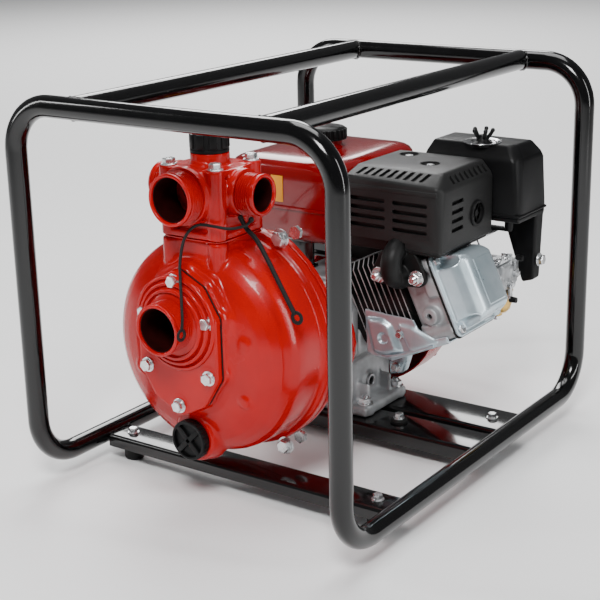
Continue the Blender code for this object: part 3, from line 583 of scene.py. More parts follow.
def make_casing():
    outer = [(0, 223.6), (40, 223.4), (62, 222.6), (80, 220.5), (96, 216.5), (108, 211), (117, 204),
        (124, 195.5), (128, 186), (129, 176), (129, 147), (131, 143.5), (136, 140.5), (137, 139), (137, 127)]
    inner = [(122, 127), (122, 184), (112, 201), (92, 210), (58, 216), (0, 216.6)]
    bell = lathe("bell", outer + inner, pump(0, CASING_Z), FRONT, 128)
    pad = prism("pad", [cover_outline(13)], 214, 231.3, FRONT, pump(0, COVER_Z))
    foot = prism("foot", [cover_outline(19)], 214, 223.6, FRONT, pump(0, COVER_Z))
    neck = prism("neck", [rectangle(-37, -37, 37, 37, 8)], 280, 316, UP, pump(MANIFOLD_Y, 0))
    bosses = [cylinder("boss", (PUMP_X + x, -231.3, COVER_Z + z), (PUMP_X + x, -214, COVER_Z + z),
        14.5, 32, 17) for x, z in COVER_BOLTS]
    drain = cylinder("drain", pump(-221.6, DRAIN_Z), pump(-198, DRAIN_Z), 27.5, 64, 34)
    pips = [cylinder("pip", (PUMP_X + x, -222, CASING_Z + z), (PUMP_X + x, -205, CASING_Z + z), 7, 24)
        for x, z in ((76, 22), (74, -46), (-76, -30))]
    shapes = [bell, pad, foot, neck, *columns(284, 316), *bosses, drain, *pips]
    shapes += [lug(x, z, -140.4, -127) for x, z in lug_places()]
    level = block("level", (PUMP_X - 50, -240, 316.2), (PUMP_X + 50, -100, 345))
    mouth = prism("mouth", [rounded([(x * 0.82, z * 0.82) for x, z in COVER_BOLTS], 6)], 190, 240, FRONT,
        pump(0, COVER_Z))
    riser = cylinder("riser", pump(MANIFOLD_Y, 250), pump(MANIFOLD_Y, 330), 26)
    well = cylinder("well", pump(-230, DRAIN_Z), pump(-170, DRAIN_Z), 15.6)
    casing = cast("pump_casing_body", shapes, (level, mouth, riser, well), 1.7, 6)
    put(casing, "pump_red", stands_for="pump_casing", sharp=60)
    for x, z in lug_places():
        bolt((x, -140.2, z), FRONT, 9.5)
        bolt((x, -113.4, z), BACK, 9.0, washer=False, stud=4)


def make_suction_cover():
    cover = prism("cover", [cover_outline(12)], 233.4, 242.8, FRONT, pump(0, COVER_Z))
    ears = [cylinder("ear", (PUMP_X + x, -243.4, COVER_Z + z), (PUMP_X + x, -233.4, COVER_Z + z), 12.4, 40)
        for x, z in COVER_BOLTS]
    cone = lathe("cone", [(20, 236), (47, 236), (46, 243), (41, 246), (37, 249), (20, 249)], pump(0, PORT_Z),
        FRONT, 96, True)
    bore = cylinder("bore", pump(-200, PORT_Z), pump(-300, PORT_Z), BIG_BORE, 96)
    body = cast("suction_cover_body", [cover, *ears, cone], (bore,), 1.2, 4, 0.4)
    put(body, "pump_red", stands_for="suction_cover", sharp=60)
    ridges = [(25.5, 240)]
    for radius, height in ((53, 246.0), (46, 249.6), (39, 253.2)):
        ridges += [(radius + 2.4, height - 4.4), (radius + 2.2, height - 1.2), (radius + 1.0, height),
            (radius - 1.2, height), (radius - 3.2, height - 2.6)]
    ridges += [(30, 253), (25.5, 253)]
    put(lathe("suction_collar", ridges, pump(0, PORT_Z), FRONT, 128, True), "pump_red", sharp=50)
    port("suction_port", pump(0, PORT_Z), FRONT, BIG_THREAD, BIG_BORE, 246, 277)
    for x, z in COVER_BOLTS:
        bolt((PUMP_X + x, -243.4, COVER_Z + z), FRONT, 7.6)


def make_manifold():
    centre = pump(MANIFOLD_Y, OUTLET_Z)
    shapes = [prism("slab", [rectangle(-half, -half, half, half, corner)], low, high, UP,
        pump(MANIFOLD_Y, 0)) for half, corner, low, high in ((33, 10, 318.2, 394), (42, 11, 318.2, 326),
        (40, 12, 388, 395))]
    shapes.append(cylinder("front", centre, pump(-222, OUTLET_Z), 33))
    shapes += [cylinder("side", centre, (x, MANIFOLD_Y, OUTLET_Z), 27) for x in (20, -80)]
    neck = cylinder("neck", pump(MANIFOLD_Y, 380), pump(MANIFOLD_Y, 409.2), 22.4, 64)
    shapes += [neck, *columns(318.2, 397)]
    bores = (cylinder("bore", centre, pump(-260, OUTLET_Z), BIG_BORE),
        cylinder("bore", (-120, MANIFOLD_Y, OUTLET_Z), (60, MANIFOLD_Y, OUTLET_Z), SMALL_BORE),
        cylinder("bore", pump(MANIFOLD_Y, 370), pump(MANIFOLD_Y, 420), 18.4),
        cylinder("bore", pump(MANIFOLD_Y, 300), pump(MANIFOLD_Y, 368), 26))
    body = cast("outlet_manifold_body", shapes, bores, 1.2, 4, 0.3)
    put(body, "pump_red", stands_for="outlet_manifold", sharp=60)
    port("outlet_port_front", pump(0, OUTLET_Z), FRONT, BIG_THREAD, BIG_BORE, 216, 245)
    port("outlet_port_right", (0, MANIFOLD_Y, OUTLET_Z), RIGHT, SMALL_THREAD, SMALL_BORE, 14, 44)
    port("outlet_port_left", (0, MANIFOLD_Y, OUTLET_Z), LEFT, SMALL_THREAD, SMALL_BORE, 74, 104)
    for x, y in column_places():
        bolt((x, y, 397), UP)


def make_priming_cap():
    cap = lathe("cap", [(0, 430.6), (17, 430.6), (18, 431.8), (20.3, 431.8), (21.2, 430.8), (21.4, 413.5),
        (22.3, 412.6), (22.3, 409.8), (17.6, 409.8), (17.6, 393), (0, 393)], pump(MANIFOLD_Y, 0))
    ribs = ribs_round(9, pump(MANIFOLD_Y, 0), "Z", (19.6, -4.8, 414), (22.6, 4.8, 430.6), 1.2)
    bar = block("bar", (PUMP_X - 17, MANIFOLD_Y - 4, 429), (PUMP_X + 17, MANIFOLD_Y + 4, 431.9), 0.8)
    put(merged("priming_cap_body", [cap, *ribs, bar]), "black_plastic", "priming_cap", "priming_cap")


def make_drain_plug():
    plug = lathe("plug", [(0, 229), (19.5, 229), (20.3, 232.6), (22.4, 232.9), (23.6, 232), (23.8, 223),
        (23.2, 221.9), (15, 221.9), (15, 202), (0, 202)], pump(0, DRAIN_Z), FRONT)
    bars = [block("bar", (-20.5, -4.9, -3.1), (20.5, 2, 3.1), 0.9, 3,
        at(pump(-228, DRAIN_Z), UP, radians(degrees), "Y")) for degrees in (45, 135)]
    grips = ribs_round(28, pump(0, DRAIN_Z), "Y", (22.6, -231.8, -1.3), (24.0, -222.4, 1.3), 0.4)
    put(merged("drain_plug_body", [plug, *bars, *grips]), "black_plastic", "drain_plug", "drain_plug")


STRAPS = {
    # name: strap radius, route of the strap from its knot at the port's root, eye centre, eye facing
    "strap_front": (1.7, [(37, -187, 342.4), (37, -197, 338), (29, -214, 337), (12, -221, 339),
                          (-5, -224, 339.5), (-14.5, -229, 334), (-18.5, -237, 322), (-13, -251, 302),
                          (-7, -259, 284), (0, -267, 264), (5, -273, 246), (6, -276, 236)],
                    (6, -277, 229.6), RIGHT),
    "strap_right": (2.7, [(22, -186, 342.4), (31, -188, 332), (47, -191, 321.5), (62, -194, 304),
                          (78, -196, 281), (93, -197, 258), (99.3, -197, 248.2)],
                    (102.6, -197, 243.4), FRONT),
    "strap_left": (1.7, [(-84, -180, 340.6), (-94, -174, 332), (-110, -160, 317), (-126, -141, 304),
                         (-142, -118, 288), (-158, -107, 268), (-174, -104, 246), (-183, -104, 226)],
                   (-186, -104, 219.6), FRONT),
}


def make_straps():
    for name, (radius, route, eye, eye_facing) in STRAPS.items():
        knot = lathe(f"{name}_knot", [(0, 3.3), (1.5, 3.0), (2.7, 1.9), (3.2, 0), (2.7, -1.9), (1.5, -3.0),
            (0, -3.3)], route[0], steps=40)
        put(knot, "rubber")
        thick = 1.3 + 0.35 * radius
        ring = [(3.6 + thick + thick * cos(tau * k / 12), 1.3 * sin(tau * k / 12)) for k in range(12)]
        end = lathe(f"{name}_eye", ring, eye, eye_facing, 48, True)
        put(end, "rubber")
        path = smooth_route(route)
        strap = put(tube(f"{name}_strap", path, radius, 5), "rubber", stands_for=name)


def make_adapter():
    profile = [(0, 126.6), (137, 126.6), (137, 117.5), (135.5, 116), (122, 115), (118, 112), (70, 0),
        (70, -19.4), (60, -19.4), (60, 0), (106, 106), (106, 116), (0, 116)]
    dense = []
    for (r0, h0), (r1, h1) in zip(profile, profile[1:]):
        parts = 1 + int(abs(h1 - h0) // 8)
        dense += [(r0 + (r1 - r0) * k / parts, h0 + (h1 - h0) * k / parts) for k in range(parts)]
    bell = lathe("bell", dense + [profile[-1]], pump(0, CASING_Z), FRONT, 128)
    for vertex in bell.data.vertices:
        behind = min(max(112 + vertex.co.y / MM, 0), 112)
        vertex.co.z -= (CASING_Z - SHAFT_Z) / 112 * behind * MM
    lugs = [lug(x, z, -126.6, -113.6) for x, z in lug_places()]
    ribs = []
    for degrees in LUG_DEGREES:
        a = radians(degrees)
        start = (PUMP_X + 124 * cos(a), -118, CASING_Z + 124 * sin(a))
        end = (PUMP_X + 68 * cos(a), -2, SHAFT_Z + 68 * sin(a))
        ribs.append(cylinder("rib", start, end, 9, 24, 4))
    notch = block("notch", (PUMP_X - 50, -150, 312), (PUMP_X + 50, -90, 345))
    hole = cylinder("hole", pump(-140, SHAFT_Z), pump(-100, SHAFT_Z), 21)
    body = cast("pump_adapter_body", [bell, *lugs, *ribs], (notch, hole), 1.9, 5)
    put(body, "pump_red", stands_for="pump_adapter", sharp=60)


# ---- engine ------------------------------------------------------------------------------------

def loft(name, sections, facing=UP, origin=(0, 0, 0), matrix=None):
    """Skins outlines of equal length, given as (height, outline), and closes both ends."""
    work = bmesh.new()
    rings = [[work.verts.new((x * MM, y * MM, height * MM)) for x, y in outline]
        for height, outline in sections]
    for first, second in zip(rings, rings[1:]):
        for k in range(len(first)):
            n = (k + 1) % len(first)
            work.faces.new((first[k], first[n], second[n], second[k]))
    work.faces.new(rings[0][::-1])
    work.faces.new(rings[-1])
    bmesh.ops.recalc_face_normals(work, faces=work.faces)
    return shaped(name, work, (matrix or UP) @ at(origin, facing))


def hull(name, places, bevel=2.0, segments=3, matrix=None):
    """A convex body through corner points, with rounded edges."""
    work = bmesh.new()
    for place in places:
        work.verts.new(point(place))
    made = bmesh.ops.convex_hull(work, input=work.verts[:])
    loose = [v for v in made["geom_interior"] if isinstance(v, bmesh.types.BMVert)]
    bmesh.ops.delete(work, geom=loose, context="VERTS")
    bmesh.ops.dissolve_limit(work, angle_limit=0.02, verts=work.verts[:], edges=work.edges[:])
    if bevel:
        bmesh.ops.bevel(work, geom=work.edges[:], offset=bevel * MM, segments=segments, affect="EDGES",
            profile=0.5, clamp_overlap=True)
    bmesh.ops.recalc_face_normals(work, faces=work.faces)
    return shaped(name, work, matrix)


def slot_cutter(x0, x1, z, height, y0, y1):
    r = height / 2
    return prism("slot", [rounded([(x0 + r, z), (x1 - r, z)], r, 5)], -y1, -y0, FRONT)


GUARD = [(24, 18, 269), (159, 18, 269), (159, 148, 269), (24, 148, 269), (24, 18, 352), (152, 18, 349),
    (159, 26, 345), (159, 148, 345), (26, 46, 362), (145, 46, 362), (145, 146, 362), (26, 146, 362)]


def guard_shell(shrink, deeper=0):
    """The guard's corners moved inwards, with the lower ones further down."""
    return [(x + copysign(shrink, 90 - x), y + copysign(shrink, 80 - y),
        z - shrink - (deeper if z < 300 else 0)) for x, y, z in GUARD]


def make_guard():
    shell = hull("guard", guard_shell(0), 3)
    cutters = [hull("inside", guard_shell(2.2, 15), 1)]
    for row in range(4):
        z = 326.5 - 10.8 * row
        cutters += [slot_cutter(32, 82, z, 5.2, 0, 26), slot_cutter(92, 140, z - 0.6, 5.2, 0, 26)]
    for k in range(9):
        x = 36 + 11 * k
        cutters.append(hull("slant", [(x + dx + lean, y, z) for dx in (0, 5.6)
            for y, z, lean in ((25, 346, 0), (25, 372, 0), (41, 346, 4), (41, 372, 4))], 0))
    for k in range(8):
        y = 52 + 11.5 * k
        cutters.append(hull("side_slant", [(x, y + dy, z) for dy in (0, 5.2) for x in (148.5, 156)
            for z in (340, 372)], 0))
    for row in range(4):
        cutters.append(block("side_slot", (150, 44, 324 - 11 * row), (170, 72, 329 - 11 * row), 1.5))
    cutters.append(cylinder("outlet", (150, 106, 303), (170, 106, 303), 13, 48))
    cutters.append(block("step", (0, -10, 240), (110, 70, 278)))
    for x, y in ((52, 126), (104, 88)):
        cutters.append(cylinder("dimple", (x, y, 356), (x, y, 380), 12, 40))
    put(cut(shell, cutters), "guard_black", stands_for="muffler_guard", sharp=30)
    # A black shell just inside the guard is painted shade seen through its slots.
    put(cut(hull("guard_shade_liner", guard_shell(5), 2), [hull("hollow", guard_shell(6.5, 15), 1)]), "fin_black")
    for k, (x, y) in enumerate(((52, 126), (104, 88))):
        well = lathe(f"guard_well_{k}", [(0, 354.4), (10.5, 354.4), (12.2, 361.2), (13.2, 362.2),
            (13.6, 361.8), (12.5, 353), (0, 353)], (x, y, 0))
        put(well, "guard_black")
        bolt((x, y, 354.4), UP, 6.0)
    ledge = hull("guard_ledge", [(x, y, z) for y, z in ((16.8, 338), (20, 338), (17.2, 343), (20, 345))
        for x in (22.6, 153)], 0.7)
    put(ledge, "guard_black")
    ring_piece = lathe("guard_outlet_ring", [(13.2, 157), (16.5, 157), (16.5, 161), (15.5, 162),
        (13.2, 162)], (0, 106, 303), RIGHT, 64, True)
    put(ring_piece, "black_plastic")
    blades = ribs_round(7, (156, 106, 303), "X", (-1.5, -1.1, 2), (1.5, 1.1, 13), 0.5)
    blades.append(cylinder("hub", (154, 106, 303), (159, 106, 303), 4, 24))
    put(merged("guard_outlet_swirl", blades), "black_plastic")
    frame["nodes"]["muffler"].data.materials[0] = FINISH["fin_black"]


def fin_outline(low, high, front, back, corner=9):
    """A cylinder fin seen along the cylinder, in the across plane, with clipped corners."""
    return [(low + corner, front), (high - corner, front), (high, front + corner), (high, back - corner),
        (high - corner, back), (low + corner, back), (low, back - corner), (low, front + corner)]


def make_block():
    outline = [(-102, 50), (16, 50), (16, 100), (34, 118), (34, 176), (26, 190), (-4, 213), (-60, 213),
        (-84, 205), (-102, 180)]
    case = prism("case", [outline], -138, -36, FRONT, bevel=3)
    chin = block("chin", (-98, 40, 40), (14, 136, 60), 4)
    foot = block("foot", (-138, 33, 33.6), (44, 135, 46.5), 3)
    pads = [cylinder("pad", (x, y, 33.6), (x, y, 48), 12, 40, 10.5) for x, y in BLOCK_BOLTS]
    ribs = [block("rib", (16, y - 2.5, 44), (34, y + 2.5, 70), 1) for y in (58, 110)]
    ribs += [block("rib", (-120, y - 2.5, 44), (-100, y + 2.5, 74), 1) for y in (62, 108)]
    drain = cylinder("drain", (10, 82, 66), (20, 82, 66), 11, 40)
    filler = cylinder("filler", (-110, 60, 82), (-96, 60, 82), 16, 40)
    rooms = (cylinder("well", (14, 82, 66), (40, 82, 66), 7.5, 40),
        cylinder("bore", (0, CYL_Y, 0), (160, CYL_Y, 0), 34, 48, matrix=ENGINE),
        cylinder("chamber", pump(20, SHAFT_Z), pump(128, SHAFT_Z), 41.5, 48),
        cylinder("fill_hole", (-125, 60, 82), (-80, 60, 82), 9.2, 32))
    body = cast("engine_block_case", [case, chin, foot, *pads, *ribs, drain, filler], rooms, 1.7, 4, 0.35)
    put(body, "cast_aluminium", stands_for="engine_block", sharp=50)
    put(lathe("drain_seat", [(5.4, 14.6), (9.6, 14.6), (9.6, 21.4), (8.8, 22.2), (6.2, 22.2), (5.4, 21.4)],
        (0, 82, 66), RIGHT, 64, True), "steel")
    # The bolt at the bottom of the drain well is black as painted shade for the hole's dark inside.
    put(cylinder("drain_bolt_shade", (13, 82, 66), (16.5, 82, 66), 5.2, 6), "fin_black")
    barrel = [lathe("barrel", [(34.2, 40), (46, 40), (46, 147.6), (34.2, 147.6)], (0, 0, 0), UP, 64, True,
        ACROSS)]
    edges = []
    t = 72.0
    while t < 146:
        outline = fin_outline(-66, 52, -46.5, 46.5)
        barrel.append(prism("fin", [outline], t, t + 2.3, bevel=0.5, matrix=ACROSS))
        rim = fin_outline(-66.5, 52.5, -47, 47)
        edges.append(prism("fin_edge", [rim], t + 0.6, t + 1.7, bevel=0.3, matrix=ACROSS))
        t += 7.9
    # The barrel and fins are black as painted shade between the fins; only the fin rims show the aluminium.
    put(merged("cylinder_fins_painted_shade", barrel), "fin_black", sharp=30)
    guide = hull("air_guide", [(x, y, z) for x, low, high in ((-50, 214, 247), (62, 200, 247),
        (78, 210, 262)) for y in (129.5, 132) for z in (low, high)], 0.8)
    put(guide, "fin_black")
    put(merged("cylinder_fin_edges", edges), "cast_aluminium", sharp=30)
    for x, y in BLOCK_BOLTS:
        bolt((x, y, 48), UP, 9, stud=3)


def make_crankcase_cover():
    outline = [(-100, 50), (14, 50), (14, 100), (32, 118), (32, 176), (24, 189), (-4, 211), (-60, 211),
        (-83, 203), (-100, 179)]
    cover = prism("crankcase_cover_body", [outline, circle(PUMP_X, SHAFT_Z, 13)], 20.2, 35.6, FRONT,
        (0, 56, 0), 2.5)
    put(cover, "cast_aluminium", stands_for="crankcase_cover")
    for x, z in ((-92, 62), (6, 62), (24, 124), (22, 176), (-8, 200), (-58, 201), (-90, 172), (-92, 118)):
        bolt((x, 20.2, z), FRONT, 6.0)


def make_head():
    shapes = [hull("core", corners((150, 196), (39, 118), (-54, 34)), 3, 3, ENGINE)]
    for t in (149.5, 158.5, 167.5, 176.5, 185.5):
        shapes.append(prism("fin", [fin_outline(-46, 60, -38, 47, 7)], t, t + 2.8, bevel=0.6, matrix=ACROSS))
    shapes.append(block("deck", (191.0, CYL_Y - 47.5, -61), (196.6, CYL_Y + 47, 42), 2, 3, ENGINE))
    for y, p in ((38, -50), (122, -50), (38, 33), (122, 33)):
        shapes.append(cylinder("boss", (149, y, p), (196.6, y, p), 9, 32, matrix=ENGINE))
    shapes.append(hull("upper_lobe", [(t, y, p) for t, p in ((178, -6), (178, 14), (194, 20), (194, -8))
        for y in (32, 42)], 3, 3, ENGINE))
    shapes.append(hull("lower_lobe", [(t, y, p) for t, p in ((152, -34), (176, -40), (192, -46), (192, -61),
        (160, -61), (150, -52)) for y in (32.6, 42)], 3, 3, ENGINE))
    shapes.append(cylinder("lifting_boss", (172, 29.4, -27), (172, 42, -27), 10.5, 40, 12.5, ENGINE))
    gaps = [block("gap", (168, 20, -14), (192, 39.6, -6), 2, 3, ENGINE),
        block("gap", (158, 20, 2), (174, 39.6, 30), 2, 3, ENGINE),
        cylinder("hole", (172, 36, -27), (172, 20, -27), 3.6, 24, matrix=ENGINE)]
    head = cast("cylinder_head_body", shapes, gaps, 1.1, 2, 0.3)
    put(head, "cast_aluminium", stands_for="cylinder_head", sharp=45)
    # A black disc at the bottom of the lifting boss's hole is painted shade.
    put(cylinder("lifting_hole_shade", (172, 35.2, -27), (172, 34.2, -27), 3.5, 24, matrix=ENGINE), "fin_black")


def cover_ring(x0, y0, x1, y1, radius, ear=0.0):
    """The valve cover's outline, swelling outwards at its four corner bolts."""
    base = rectangle(x0, y0, x1, y1, radius, 10)
    middle = Vector(((x0 + x1) / 2, (y0 + y1) / 2))
    outline = []
    for x, y in base:
        away = Vector((x, y)) - middle
        nearness = (abs(away.x) / ((x1 - x0) / 2)) * (abs(away.y) / ((y1 - y0) / 2))
        grow = ear * max(0.0, nearness - 0.62) / 0.38
        shift = away.normalized() * grow
        outline.append((x + shift.x, y + shift.y))
    return outline


def make_valve_cover():
    flange = prism("flange", [cover_ring(-42, -48, 62, 48, 12, 4)], 197.2, 201.4, matrix=ACROSS, bevel=1.2)
    dome = hull("dome", corners((-38, 57), (-44, 44), (199,)) + corners((-34, 53), (-38, 42), (224,))
        + corners((-26, 46), (-20, 34), (236,)), 6, 4, ACROSS)
    lobe = hull("lobe", [(x, y, z) for x, y in ((34, 18), (58, 14), (58, 44), (34, 44)) for z in (199, 222)],
        5, 3, ACROSS)
    bolts = ((-33, -40), (-33, 40), (54, -40), (54, 40))
    wells = [cylinder("well", (x, y, 202.2), (x, y, 250), 10.5, 40, 15, ACROSS) for x, y in bolts]
    body = cast("valve_cover_body", [flange, dome, lobe], wells, 1.1, 4, 0.35)
    put(body, "zinc_blue", stands_for="valve_cover", sharp=60)
    lip = prism("valve_cover_gasket", [cover_ring(-43, -48.6, 63, 48.6, 12, 4)], 195.8, 197.1, matrix=ACROSS)
    put(lip, "gasket")
    panel = hull("valve_cover_panel", corners((-20, 40), (-14, 28), (235.8,))
        + corners((-18, 38), (-12, 26), (236.6,)), 0.3, 2, ACROSS)
    put(panel, "zinc_blue")
    for x, y in bolts:
        bolt((x, y, 202), UP, 6.2, matrix=ACROSS, washer=False)


def make_shroud():
    edge = [(66, -44), (74, -53), (92, -61), (116, -65.2), (186, -65.2), (186, -56), (164, -54), (152, -44),
        (149, -24), (115, -7), (87, 8)]
    skirt = prism("skirt", [edge], -31.4, -28.8, FRONT, bevel=0.6, matrix=ENGINE)
    pad = hull("pad", [(t, 30, p) for t, p in ((74, -46), (84, 0), (108, -8), (118, -20), (120, -60),
        (92, -58))] + [(t, 22.6, p) for t, p in ((82, -46), (89, -8), (106, -15), (112, -24), (112, -54),
        (94, -52))], 2.5, 3, ENGINE)
    second = hull("second", [(t, 30, p) for t, p in ((124, -20), (147, -30), (152, -48), (176, -60),
        (128, -63))] + [(t, 24.4, p) for t, p in ((129, -27), (143, -35), (148, -52), (162, -60),
        (132, -59))], 2.0, 3, ENGINE)
    under = block("under", (94, CYL_Y - 50, -65.2), (186, CYL_Y + 49, -62.8), 0.8, 2, ENGINE)
    dent = cylinder("dent", (101, 16, -34), (101, 26, -34), 10, 40, 6, ENGINE)
    body = cast("cylinder_shroud_body", [skirt, pad, second, under], (dent,), 1.1, 3, 0.4)
    put(body, "zinc_blue", stands_for="cylinder_shroud", sharp=50)
    crease = tube("shroud_bead", smooth_route([(88, 27.5, -55), (100, 24.5, -58), (116, 26, -60.5),
        (140, 26, -61.5), (164, 27.5, -62.5)], 3), 1.8, 5, matrix=ENGINE)
    put(crease, "zinc_blue")
    bolt((124, 28.8, -36), FRONT, 5.5, matrix=ENGINE)
    tab = hull("shroud_bracket", [(x, y, z)
        for y in (64, 82) for x, z in ((58, 116), (88, 123), (78, 92), (60, 88))], 2.5)
    put(tab, "zinc_blue")
    bolt((70, 64, 100), FRONT, 5.5)


def make_exhaust():
    x = 97.0
    route = smooth_route([(x, 26, 233), (x, 17, 234), (x, 9.5, 241), (x, 7.5, 252), (x, 12, 263),
        (x, 24, 271), (x, 37, 276), (x, 43.5, 284), (x, 44, 291.5)], 2.5)
    pipe = tube("pipe", route, 13, 8)
    outline = rounded([(x - 27, 232), (x + 26, 235), (x + 16, 254), (x - 16, 254)], 12, 10)
    flange = prism("flange", [outline], -31.4, -24, FRONT, bevel=1.2)
    collar = cylinder("collar", (x, 28, 234), (x, 15, 235), 17.5, 48, 14)
    elbow = cast("exhaust_elbow_body", [pipe, flange, collar], (), 1.1, 3, 0.4)
    put(elbow, "fin_black", stands_for="exhaust_elbow", sharp=60)
    for side, z in ((x - 27, 232), (x + 26, 235)):
        bolt((side, 24, z), FRONT, 8.5, stud=5)


def rim_sections(table):
    """The tank's outline drawn in by an inset at each height, its corners tightening as it goes."""
    return [(height, rectangle(-176 + inset, 38 + inset, -inset, 244 - inset, max(4, 22 - inset * 0.35), 12))
        for height, inset in table]


def make_tank():
    lower = loft("fuel_tank_lower_pressing", rim_sections([(250, 22), (250.4, 14), (252.5, 8), (257, 3.6),
        (264, 1.2), (272, 0.4), (292.8, 0)]))
    put(lower, "tank_red", stands_for="fuel_tank_lower")
    upper = loft("fuel_tank_upper_pressing", rim_sections([(297.6, 0), (330, 0.2), (339, 0.8), (345, 2.6),
        (349.4, 5.6), (352.4, 10), (354.4, 16), (356, 26), (357, 38), (357.6, 52)]))
    put(upper, "tank_red", stands_for="fuel_tank_upper")
    seam = loft("fuel_tank_seam", [(height, rectangle(-176 - grow, 38 - grow, grow, 244 + grow, 22 + grow,
        12)) for height, grow in ((292.6, 0), (293.2, 2.4), (294, 3.2), (296.8, 3.2), (297.6, 2.4),
        (298, 0))])
    put(seam, "tank_red")
    neck = lathe("fuel_neck", [(18, 354), (30, 356.6), (24.5, 358.5), (22.6, 361), (22.6, 366.8),
        (18, 366.8)], FUEL_CAP, UP, 96, True)
    put(neck, "tank_red")
    cap = lathe("cap", [(0, 383.4), (22, 383.4), (25, 382.6), (27.4, 380), (27.4, 369), (28.6, 368),
        (28.6, 367.2), (17, 367.2), (17, 361), (0, 361)], FUEL_CAP)
    ribs = ribs_round(24, FUEL_CAP, "Z", (26, -1.9, 369), (29, 1.9, 380.6), 0.8)
    bar = block("bar", (-110, 137, 382), (-62, 147, 384), 0.9)
    put(merged("fuel_cap_body", [cap, *ribs, bar]), "black_plastic", "fuel_cap", "fuel_cap")
    put(block("blank_label", (-100, 37.2, 302), (-82, 37.9, 336), 0.2), "label")
    parts = [block("part", low, high, 1) for low, high in (((-94, 62, 213.5), (-54, 66, 249.5)),
        ((-94, 118, 213.5), (-54, 122, 249.5)), ((-96, 60, 245.5), (-52, 124, 249.6)),
        ((-96, 60, 213.4), (-52, 72, 217)), ((-96, 112, 213.4), (-52, 124, 217)))]
    put(merged("tank_bracket_body", parts), "frame_black", stands_for="tank_bracket")


def make_air_cleaner():
    outside = [(57, 152, 289.2), (190, 152, 289.2), (193, 164, 289.2), (193, 229, 289.2), (57, 229, 289.2),
        (58, 154, 360), (183, 154, 360), (190, 166, 360), (190, 226, 360), (58, 227, 360), (66, 164, 377),
        (170, 164, 377), (178, 174, 377), (178, 216, 377), (66, 218, 377)]
    cover = hull("cover", outside, 3.5, 4)
    room = block("room", (63, 158, 270), (186, 222, 352), 3)
    well = cylinder("well", (131, 172, 372), (131, 172, 390), 17, 64)
    put(cut(cover, [room, well]), "black_plastic", "cleaner_cover", "air_cleaner_cover", 30)
    lid = lathe("cleaner_plate", [(0, 373.2), (13, 373.4), (15.5, 375.4), (19.5, 377.9), (23.5, 378.2),
        (24, 377.4), (21, 376.9), (17, 372), (0, 372)], WING_NUT)
    put(lid, "chrome", "cleaner_cover")
    lip = hull("cleaner_lip", corners((55.5, 194), (150.5, 230), (289.1, 292.5)), 1.2)
    opening = block("opening", (63, 158, 285), (186, 222, 296), 3)
    put(cut(lip, [opening]), "black_plastic", "cleaner_cover")
    base = hull("base", corners((57, 192), (152, 230), (288.8,)) + corners((66, 191), (158, 230), (281,)), 2)
    duct = hull("duct", [(140, 207, 285), (191, 207, 285), (191, 229, 285), (140, 229, 285), (168, 208, 262),
        (168, 228, 262), (190, 208, 250), (190, 228, 250), (172, 208, 191), (188, 208, 196), (188, 228, 196),
        (172, 228, 191)], 2.5)
    throat = block("throat", (175, 211, 180), (185, 225, 240), 2)
    lower = cut(cast("air_cleaner_base_body", [base, duct], (), 1.5, 2, 0.3), [throat])
    put(lower, "black_plastic", stands_for="air_cleaner_base", sharp=40)
    hub = lathe("hub", [(0, 386), (5, 386), (7, 383), (8.5, 378.6), (12, 376.5), (12, 373.4), (0, 373.4)],
        WING_NUT, steps=48)
    wings = []
    for k in range(5):
        a = tau * (k + 0.35) / 5
        out = [(WING_NUT[0] + r * cos(a), WING_NUT[1] + r * sin(a), z)
            for r, z in ((3, 380), (8, 384.5), (12, 391), (12.4, 391.8))]
        wings.append(tube("wing", smooth_route(out[:3], 2), 2.4, 5))
        wings.append(lathe("tip", [(0, 2.9), (1.9, 2.2), (2.9, 0), (1.9, -2.2), (0, -2.9)], out[3], UP, 20))
    put(merged("wing_nut_body", [hub, *wings]), "black_plastic", "wing_nut", "wing_nut")
    bolt((190.6, 218, 222), RIGHT, 7.5)


